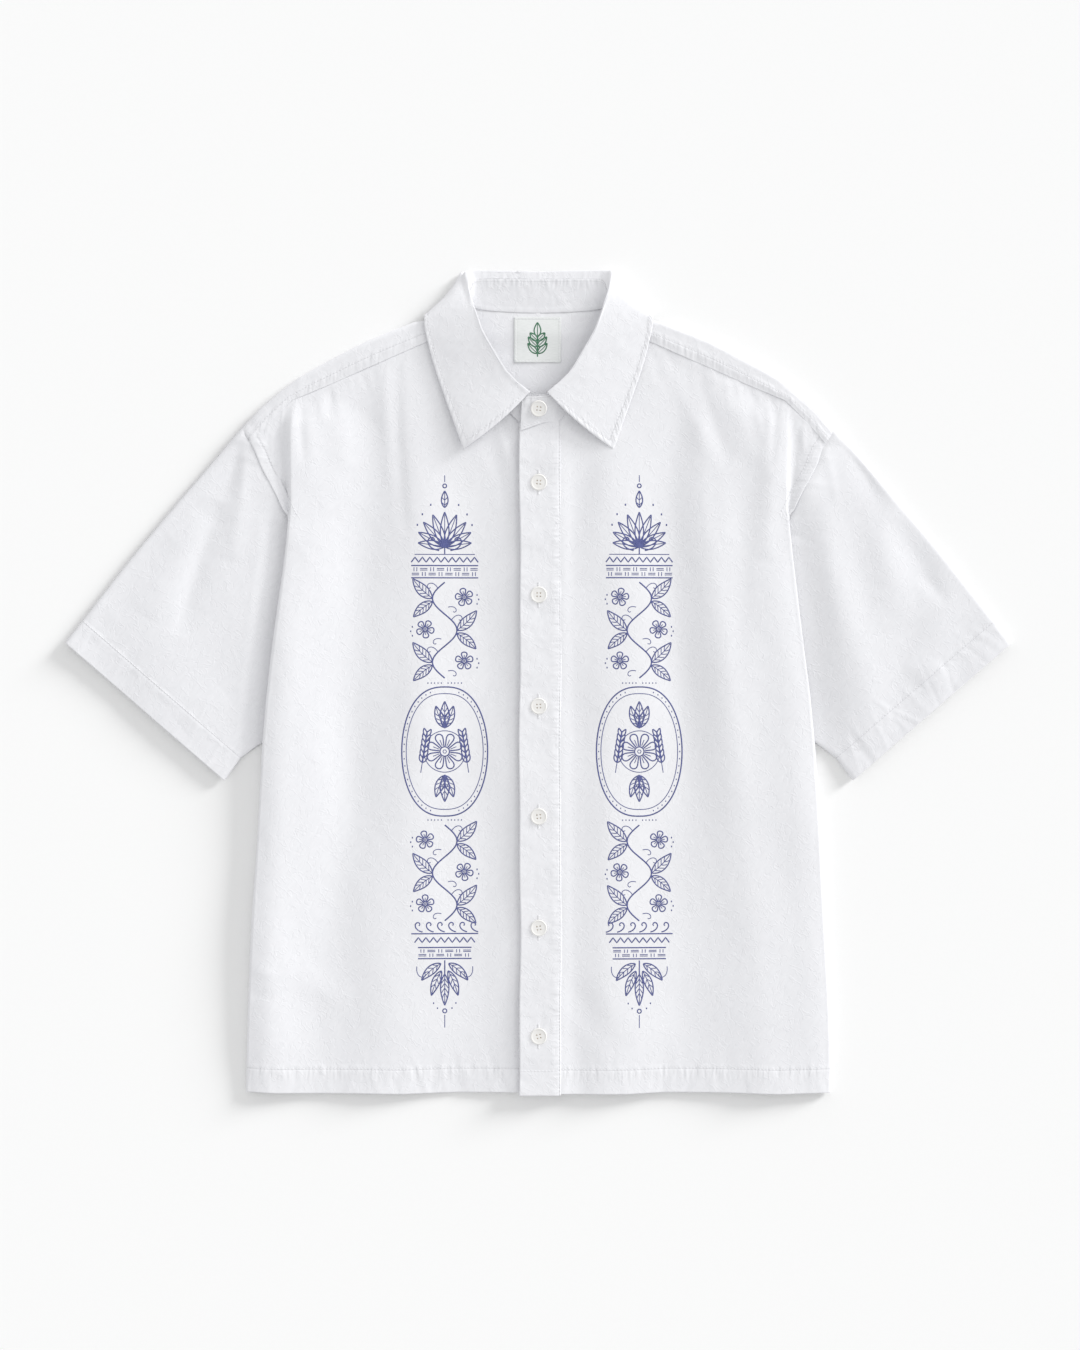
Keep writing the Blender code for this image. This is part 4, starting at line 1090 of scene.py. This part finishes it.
def buttonMesh():
    radius, dish, rim, middle = (buttonForm[part] for part in ("radius", "dish", "rimHeight", "dishHeight"))
    profile = [
        (0, middle), (dish * 0.8, middle), (dish, middle + 0.08), (dish + 0.4, rim - 0.1),
        (dish + 0.7, rim), (radius - 0.6, rim - 0.1), (radius - 0.2, rim - 0.5), (radius, 1.6),
        (radius - 0.3, 0.8), (radius - 1.4, 0.25), (radius * 0.4, 0), (0, 0),
    ]
    form = bmesh.new()
    ring = [form.verts.new((x * mm, 0, z * mm)) for x, z in profile]
    edges = [form.edges.new(pair) for pair in zip(ring, ring[1:])]
    turn = {"axis": (0, 0, 1), "cent": (0, 0, 0), "angle": 2 * math.pi, "steps": 56, "use_merge": True}
    bmesh.ops.spin(form, geom=ring + edges, **turn)
    bmesh.ops.remove_doubles(form, verts=form.verts, dist=0.000001)
    bmesh.ops.recalc_face_normals(form, faces=form.faces)
    return meshFrom(form, "button")


def drilled(mesh):
    form, hole = bmesh.new(), buttonForm["holeRadius"] * mm
    size = {"radius1": hole, "radius2": hole, "depth": 6 * mm, "cap_ends": True, "segments": 20}
    for quarter in range(4):
        spot = Matrix.Rotation(math.radians(45 + 90 * quarter), 4, "Z")
        spot = spot @ Matrix.Translation((buttonForm["holeRing"] * mm, 0, 1.4 * mm))
        bmesh.ops.create_cone(form, matrix=spot, **size)
    blank, cutter = addObject("blank", mesh), addObject("drill", meshFrom(form, "drill"))
    blank.modifiers.new("holes", "BOOLEAN").object = cutter
    soften = blank.modifiers.new("soften", "BEVEL")
    soften.width = 0.12 * mm
    soften.segments = 2
    soften.angle_limit = math.radians(50)
    finished = bakedMesh(blank)
    for piece in (blank, cutter):
        bpy.data.objects.remove(piece)
    finished.shade_smooth()
    return finished


def threadKnots():  # the sewing thread seen down in the holes
    form = bmesh.new()
    half = buttonForm["holeRing"] * math.sqrt(0.5)
    for x in (-half, half):
        for y in (-half, half):
            spot = Matrix.Translation(Vector((x, y, 1)) * mm) @ Matrix.Diagonal((1, 1, 1.4, 1))
            size = buttonForm["knotRadius"] * mm
            bmesh.ops.create_uvsphere(form, u_segments=12, v_segments=8, radius=size, matrix=spot)
    return meshFrom(form, "thread")


def makeButtons():
    shape, pieces = drilled(buttonMesh()), []
    places = [("button_collar", buttonForm["collarPlace"], buttonForm["collarTilt"])]
    for index, y in enumerate(placket["buttonY"]):
        places.append((f"button_{index + 1}", (placket["buttonX"], y, buttonForm["z"]), 0))
    for index, (name, place, tilt) in enumerate(places):
        turn = Matrix.Rotation(math.radians(index * 17 - 40) * 0.2, 4, "Z")
        spot = Matrix.Translation(Vector(place) * mm) @ Matrix.Rotation(math.radians(tilt), 4, "X") @ turn
        mesh, thread = shape.copy(), threadKnots()
        mesh.transform(spot)
        thread.transform(spot)
        piece = addPiece(name + "_pearl", mesh, pearlFinish)
        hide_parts(name)
        addPiece(name + "_thread", thread, tanFinish)
        pieces.append(piece)
    return pieces


buttons = makeButtons()
print("buttons done")


# Stitching

stitch = {"pitch": 3.1, "length": 2.3, "radius": 0.28, "maxStep": 2}


def topReader(*pieces):  # finds the cloth under a point seen from above
    form = bmesh.new()
    for piece in pieces:
        form.from_mesh(piece.data)
    tree = BVHTree.FromBMesh(form)
    form.free()

    def read(x, y):
        spot, facing, _, _ = tree.ray_cast(Vector((x * mm, y * mm, 0.1)), Vector((0, 0, -1)))
        return (spot, facing) if spot else (None, None)

    return read


def evenSteps(path, step):
    points = [Vector(point) for point in path]
    ahead, steps = 0, []
    for start, end in zip(points, points[1:]):
        span = (end - start).length
        while ahead < span:
            steps.append((start.lerp(end, ahead / span), (end - start).normalized()))
            ahead += step
        ahead -= span
    return steps


def addStitches(whole, read, path, thick=1):
    form = bmesh.new()
    for spot, heading in evenSteps(path, stitch["pitch"]):
        half = heading * stitch["length"] / 2
        start, facing = read(spot.x - half.x, spot.y - half.y)
        end, _ = read(spot.x + half.x, spot.y + half.y)
        if not start or not end or abs(start.z - end.z) > stitch["maxStep"] * mm:
            continue
        if facing.z < 0:
            facing = -facing
        span = end - start
        turn = span.to_track_quat("Z", "Y").to_matrix().to_4x4()
        radius = stitch["radius"] * thick * mm
        middle = (start + end) / 2 + facing * 0.1 * mm
        spot = Matrix.Translation(middle) @ turn @ Matrix.Diagonal((1, 1, span.length / 2 / radius, 1))
        bmesh.ops.create_uvsphere(form, u_segments=6, v_segments=5, radius=radius, matrix=spot)
    run = meshFrom(form, "run")
    whole.from_mesh(run)
    bpy.data.meshes.remove(run)


def mirrored(path, side=right):
    return [(side * x, y) for x, y in path]


def yokeStitchPath():
    path = []
    for startX, startY, _, ridgeX, ridgeY, *_ in yokeSections[5:]:
        front = math.hypot(ridgeX - startX, ridgeY - startY)
        share = body["yokeBand"] / shoulder["front"] * (1 - shoulder["roll"] / front)
        path.append((mix(startX, ridgeX, share), mix(startY, ridgeY, share)))
    return path


def leafStitchPath(side):
    column = leafEnd - collar["stitchInset"] / collar["leafColumn"]
    row = 2 - collar["stitchInset"] / collar["leafFall"]
    down = [(column, mix(1.08, row, part / 12)) for part in range(13)]
    along = [(mix(column, 7.2, part / 24), row) for part in range(25)]
    columns, rows = np.array(down + along).T
    return list(zip(*leafPoints(columns * side, rows)[:2]))


def makeStitching():
    hemY, sewnX, buttonX = body["hemY"], placket["stitchX"], placket["buttonX"]
    onFronts = topReader(frontLeft, frontRight, placketPiece)
    onYoke, onStand, onLeaf = topReader(yoke), topReader(stand), topReader(leaf)
    runs = []
    for side in (left, right):
        hem = [side * x for x in range(22, 260, 8)]
        runs.append((onFronts, [(x, hemY + body["hemDepth"] + hemSway(x) * 0.7) for x in hem]))
        inset = body["armBand"] / body["armSlope"]
        runs.append((onFronts, [(side * (armholeX(y) - inset), y) for y in range(152, 222, 5)]))
    runs.append((onFronts, [(-15, hemY + 19), (18, hemY + 19)]))
    runs.append((onFronts, [(sewnX, -369), (sewnX, 236)]))
    for buttonY in placket["buttonY"]:  # the ends of the buttonholes
        for end in (-1, 1):
            for y in buttonY + end * np.arange(7.2, 11.2, 0.42):
                runs.append((onFronts, [(buttonX, y), (buttonX + 0.1, y)]))
    runs += [(onYoke, yokeStitchPath()), (onYoke, mirrored(yokeStitchPath()))]
    for piece, side in ((sleeveLeft, left), (sleeveRight, right)):
        runs.append((topReader(piece), mirrored([(407.6, 54.4), (263.8, -70.2)], side)))
    runs += [(onLeaf, leafStitchPath(left)), (onLeaf, leafStitchPath(right))]
    runs.append((onStand, [(-54, 360.6), (-30, 361.4), (0, 361.6), (30, 361.4), (54, 360.6)], 1.5))
    runs.append((onStand, [(-55, 337.4), (-30, 334.8), (0, 334.2), (30, 334.8), (55, 337.4)]))
    runs.append((onStand, [(-14.8, 229.4), (16.5, 239.8)]))
    (x0, x1), (y0, y1), hem = trims["labelX"], trims["labelY"], trims["labelHem"]
    x0, x1, y0, y1 = x0 + hem, x1 - hem, y0 + hem, y1 - hem
    runs.append((topReader(label), [(x0, y0), (x1, y0), (x1, y1), (x0, y1), (x0, y0)]))
    form = bmesh.new()
    for run in runs:
        addStitches(form, *run)
    mesh = meshFrom(form, "topstitching")
    addPiece("topstitching", mesh, threadFinish)
    print("topstitching", len(mesh.polygons), "faces")


makeStitching()


# Print

# Each column is a panel of ordinary leaves, rosettes, plaits and waves. A place is a complex number
# with u across the panel and w up it.
panel = {"centres": {right: -84.2, left: 90.5}, "centreY": -61.5, "raise": 0.05, "step": 1.7}
bold, fine = 0.55, 0.36  # half the widths of the drawn lines
sides = (1, -1)


def lineStroke(*points, line=bold):
    return [(list(points), line)]


def barStroke(w, half, line=bold):
    return lineStroke(complex(-half, w), complex(half, w), line=line)


def ringStroke(centre, radius, line=bold):
    count = max(6, round(2 * math.pi * radius / panel["step"]))
    return [([centre + cmath.rect(radius, 2 * math.pi * part / count) for part in range(count + 1)], line)]


def leafStrokes(root, heading, length, width, bend=0, veins=4):  # an ordinary pointed leaf with its veins
    steps = 14
    turns = [math.radians(heading + bend * (part + 0.5) / steps) for part in range(steps)]
    spine = [root]
    for turn in turns:
        spine.append(spine[-1] + cmath.rect(length / steps, turn))

    def beside(share, side):
        low = min(int(share * steps), steps - 1)
        half = width / 2 * math.sin(math.pi * share**0.85) ** 0.9
        out = side * cmath.rect(half, turns[low] + math.pi / 2)
        return mix(spine[low], spine[low + 1], share * steps - low) + out

    shares = [part / steps for part in range(steps + 1)]
    strokes = [([beside(share, side) for share in shares], bold) for side in sides]
    strokes.append(([beside(share, 0) for share in shares[:-1]], fine))
    for index in range(veins):
        at = 0.14 + 0.62 * index / veins
        for side in (0.82, -0.82):
            vein = beside(at, 0), beside(at + 0.07, side / 2), beside(at + 0.15, side)
            strokes += lineStroke(*vein, line=fine)
    return strokes


def curlStroke(root, heading, length, turn, line=bold):  # a tendril that winds up at its tip
    steps, points = max(10, round(length / 1.3)), [root]
    for part in range(steps):
        heading += turn * (0.25 + 2.2 * (part / steps) ** 2) / steps
        points.append(points[-1] + cmath.rect(length / steps, math.radians(heading)))
    return [(points, line)]


def rosetteStrokes(centre, radius, petals, turn=0):
    strokes = ringStroke(centre, radius * 0.26) + ringStroke(centre, radius * 0.1, fine)
    for petal in range(petals):
        middle, outline = 2 * math.pi * petal / petals + math.radians(turn), []
        for part in range(13):
            sweep = math.pi * part / 12
            swing = math.cos(sweep) * math.sin(math.pi * 0.12 + 0.76 * sweep) ** 0.3
            reach = radius * (0.3 + 0.7 * math.sin(sweep) ** 0.55)
            outline.append(centre + cmath.rect(reach, middle + math.pi / petals * 0.86 * swing))
        strokes.append((outline, bold))
        ends = (centre + cmath.rect(radius * share, middle) for share in (0.34, 0.68))
        strokes += lineStroke(*ends, line=fine)
    return strokes


def grainStrokes(root, heading, length, count):  # an ear of rice
    tip = root + cmath.rect(length, math.radians(heading))
    strokes = lineStroke(root, tip, line=fine)
    for grain in range(count):
        spot = mix(root, tip, 0.25 + 0.75 * grain / count)
        for side in sides:
            strokes += leafStrokes(spot, heading + side * 32, 7.5, 3, -side * 14, 0)[:2]
    return strokes


def dotStrokes(points, radius=0.5):
    return [([point - radius, point + radius], radius * 1.5) for point in points]


def fanStrokes(root, radius, blades):  # a fan palm leaf
    strokes = []
    for blade in range(blades):
        heading = mix(8, 172, blade / (blades - 1))
        reach = radius * (0.74 + 0.26 * math.sin(math.radians(heading)))
        strokes += leafStrokes(root, heading, reach, radius / 4, 0, 0)
    return strokes


def plaitStrokes(w, half, height, count):  # a band of woven mat, over one and under one
    strokes = barStroke(w, half) + barStroke(w + height, half)
    cell, tall = 2 * half / count, (height - 2.4) / 2
    for index in range(count):
        for row in range(2):
            corner = complex(index * cell - half, w + 1.2 + row * tall)
            for part in (0.33, 0.67):
                if (index + row) % 2:
                    start = corner + part * tall * 1j
                    strokes += lineStroke(start + 0.5, start + cell - 0.5, line=fine)
                else:
                    start = corner + part * cell
                    strokes += lineStroke(start + 0.4j, start + (tall - 0.4) * 1j, line=fine)
    return strokes


def zigzagStroke(w, half, height, count):
    points = []
    for part in range(2 * count + 1):
        points.append(complex(mix(-half, half, part / (2 * count)), w + height * (part % 2)))
    return [(points, bold)]


def waveStrokes(w, half, count):  # a running row of curls
    strokes, cell = [], 2 * half / count
    for index in range(count):
        strokes += curlStroke(complex(index * cell - half, w), 8, cell * 1.75, 330)
    return strokes + barStroke(w - 1.6, half)


def vineStrokes(low, high, flip):  # a winding stem with leaves and buds in its bends
    swing, shares = 11, [part / 44 for part in range(45)]
    stem = [flip * swing * math.sin(3 * math.pi * share) + mix(low, high, share) * 1j for share in shares]
    strokes = [(stem, bold * 1.15)]
    for bend, side in enumerate((flip, -flip, flip)):
        w, outward = mix(low, high, (bend + 0.5) / 3) * 1j, 90 - 90 * side
        strokes += leafStrokes(side * swing + w, outward + side * 34, 25, 9.5, side * 22)
        strokes += leafStrokes(side * swing + w - 3j, outward - side * 30, 22, 8.5, -side * 18)
        strokes += curlStroke(side * swing * 0.55 + w + 9j, outward + side * 62, 17, -side * 300, fine)
        strokes += rosetteStrokes(-side * 17.5 + w + 1j, 8, 5, 18 + 30 * bend)
        strokes += curlStroke(-side * 3 + w - 8j, 180 - outward - side * 20, 13, side * 260, fine)
        strokes += dotStrokes([-side * 29 + w + 3j, -side * 30.5 + w - 1j, -side * 29 + w - 5j])
    return strokes


def ovalPoints(half, tall, angles, side):
    return [complex(side * half * math.cos(angle) ** 0.8, tall * math.sin(angle)) for angle in angles]


def medallionStrokes():  # an oval with a rosette between rice ears
    strokes = []
    for half, tall, line in ((38.5, 58, bold * 1.1), (34.5, 52, fine)):
        for side in sides:
            strokes.append((ovalPoints(half, tall, np.linspace(-math.pi / 2, math.pi / 2, 61), side), line))
    strokes += rosetteStrokes(0, 16.5, 8, 22.5) + ringStroke(0, 18.6, fine)
    for side in sides:
        strokes += grainStrokes(side * 21.5 - 19j, 90 + side * 9, 38, 6)
        strokes += leafStrokes(side * 21.5j, side * 58, 21, 7.5, side * 20, 3)
        strokes += leafStrokes(side * 21.5j, 180 - side * 58, 21, 7.5, -side * 20, 3)
        strokes += leafStrokes(side * 21j, side * 90, 24, 8)
    edges = (ovalPoints(36.5, 55, np.linspace(-1.3, 1.3, 23), side) for side in sides)
    return strokes + dotStrokes([point for pair in zip(*edges) for point in pair], 0.42)


def panelStrokes():
    strokes = medallionStrokes() + vineStrokes(66, 152, 1) + vineStrokes(-152, -66, -1)
    for side in sides:
        for w in (61.5j, -61.5j):
            strokes += dotStrokes([side * 3 * part + w for part in range(1, 6)], 0.42)
    strokes += plaitStrokes(156, 30, 11, 8) + zigzagStroke(170, 30, 4.5, 9) + barStroke(177, 27, fine)
    strokes += fanStrokes(184j, 31, 9) + lineStroke(177j, 184j)
    for side in sides:
        strokes += curlStroke(side * 5 + 180.5j, 90 - side * 84, 24, side * 290)
        strokes += dotStrokes([side * 20 + 213j, side * 12.5 + 221.5j, side * 24.5 + 203.5j], 0.6)
    strokes += leafStrokes(219j, 90, 15, 6, 0, 2) + ringStroke(238.5j, 1.8)
    strokes += lineStroke(242j, 248j, line=fine)
    strokes += waveStrokes(-162, 30, 6) + zigzagStroke(-171.5, 27, 4.5, 8) + plaitStrokes(-186, 24, 10, 6)
    for side in sides:
        strokes += leafStrokes(side * 3.5 - 190.5j, -90 + side * 62, 23, 7.5, -side * 26, 3)
        strokes += leafStrokes(side * 3 - 197j, -90 + side * 30, 24, 7, -side * 16, 3)
        strokes += curlStroke(side * 25 - 193j, -90 + side * 10, 18, -side * 250, fine)
        strokes += dotStrokes([side * 10 - 226j, side * 6.5 - 230.5j])
    strokes += leafStrokes(-200j, -90, 28, 7.5) + ringStroke(-233j, 1.9)
    return strokes + lineStroke(-187.5j, -200j) + lineStroke(-236.5j, -248j, line=fine)


def evenPath(points, step):  # the same path with points no further apart than step
    path = [points[0]]
    for start, end in zip(points, points[1:]):
        parts = max(1, math.ceil(abs(end - start) / step))
        path += [mix(start, end, part / parts) for part in range(1, parts + 1)]
    return path


def addInk(name, strokes, piece, lift, material):  # drawn lines as thin lenses of ink on the cloth
    curve = bpy.data.curves.new(name, "CURVE")
    curve.dimensions = "3D"
    curve.bevel_depth = mm
    curve.bevel_resolution = 0
    curve.use_fill_caps = True
    for points, line in strokes:
        path = evenPath(points, panel["step"])
        spline = curve.splines.new("POLY")
        spline.points.add(len(path) - 1)
        for point, spot in zip(spline.points, path):
            point.co = (spot.real * mm, spot.imag * mm, 0, 1)
            point.radius = line
    holder, read = addObject(name, curve), topReader(piece)
    mesh = bakedMesh(holder)
    bpy.data.objects.remove(holder)
    for vertex in mesh.vertices:
        spot, _ = read(vertex.co.x / mm, vertex.co.y / mm)
        vertex.co.z = (spot.z if spot else 0) + (lift + 0.05 * np.sign(round(vertex.co.z / mm, 3))) * mm
    mesh.shade_smooth()
    addPiece(name, mesh, material)
    print(name, len(mesh.polygons), "faces")


for name, side, piece in (("print_right", right, frontRight), ("print_left", left, frontLeft)):
    centre, placed = complex(panel["centres"][side], panel["centreY"]), []
    for points, line in panelStrokes():
        placed.append(([centre + complex(side * spot.real, spot.imag) for spot in points], line))
    addInk(name, placed, piece, panel["raise"], inkFinish)


def labelSprig():  # a plain green leaf sprig woven into the label
    strokes = lineStroke(-0.9 + 293.5j, -0.9 + 312j) + leafStrokes(-0.9 + 311j, 90, 13, 6, 0, 0)
    for side in sides:
        for root, length in ((-0.9 + 296.5j, 12.5), (-0.9 + 302.5j, 12), (-0.9 + 308j, 9.5)):
            strokes += leafStrokes(root, 90 - side * 52, length, 5, side * 16, 0)
    return strokes


addInk("label_sprig", labelSprig(), label, 0.08, greenFinish)


# Floor, light and camera


def makeStudio():
    form = bmesh.new()
    bmesh.ops.create_grid(form, x_segments=1, y_segments=1, size=studio["floorSize"])
    mesh = meshFrom(form, "floor")
    mesh.transform(Matrix.Translation((0, 0, studio["floorZ"] * mm)))
    floor, high = addObject("floor", mesh), studio["floorColor"]
    low = tuple(value * 0.995 for value in high)
    mesh.materials.append(makeFinish("paper floor", (300, 3), low, high, None, {"Roughness": 0.9}))

    scene = bpy.context.scene
    scene.world = scene.world or bpy.data.worlds.new("studio")
    scene.world.use_nodes = True
    tree = scene.world.node_tree
    feed(tree, tree.nodes["Background"], {"Color": studio["skyColor"], "Strength": studio["skyStrength"]})
    scene.view_settings.view_transform = "Standard"

    floorOnly, noButtons = bpy.data.collections.new("floor only"), bpy.data.collections.new("no buttons")
    floorOnly.objects.link(floor)
    noFloor = floorOnly.copy()
    noFloor.collection_objects[0].light_linking.link_state = "EXCLUDE"
    for index, button in enumerate(buttons):
        noButtons.objects.link(button)
        noButtons.collection_objects[index].light_linking.link_state = "EXCLUDE"
    for name, lights, comesFrom, angle, strength in studio["lamps"]:
        lamp = bpy.data.lights.new(name, "SUN")
        lamp.angle = math.radians(angle)
        lamp.energy = strength
        key = addObject(name, lamp)
        key.rotation_euler = (-Vector(comesFrom)).to_track_quat("-Z", "Y").to_euler()
        key.light_linking.receiver_collection = floorOnly if lights == "floor" else noFloor
        if name == "low key":  # the buttons lie too snugly to throw long shadows
            key.light_linking.blocker_collection = noButtons

    lens = bpy.data.cameras.new("camera")
    lens.lens = studio["lens"]
    camera = addObject("camera", lens)
    camera.location = Vector((*studio["aim"], studio["cameraHeight"])) * mm
    scene.camera = camera


makeStudio()
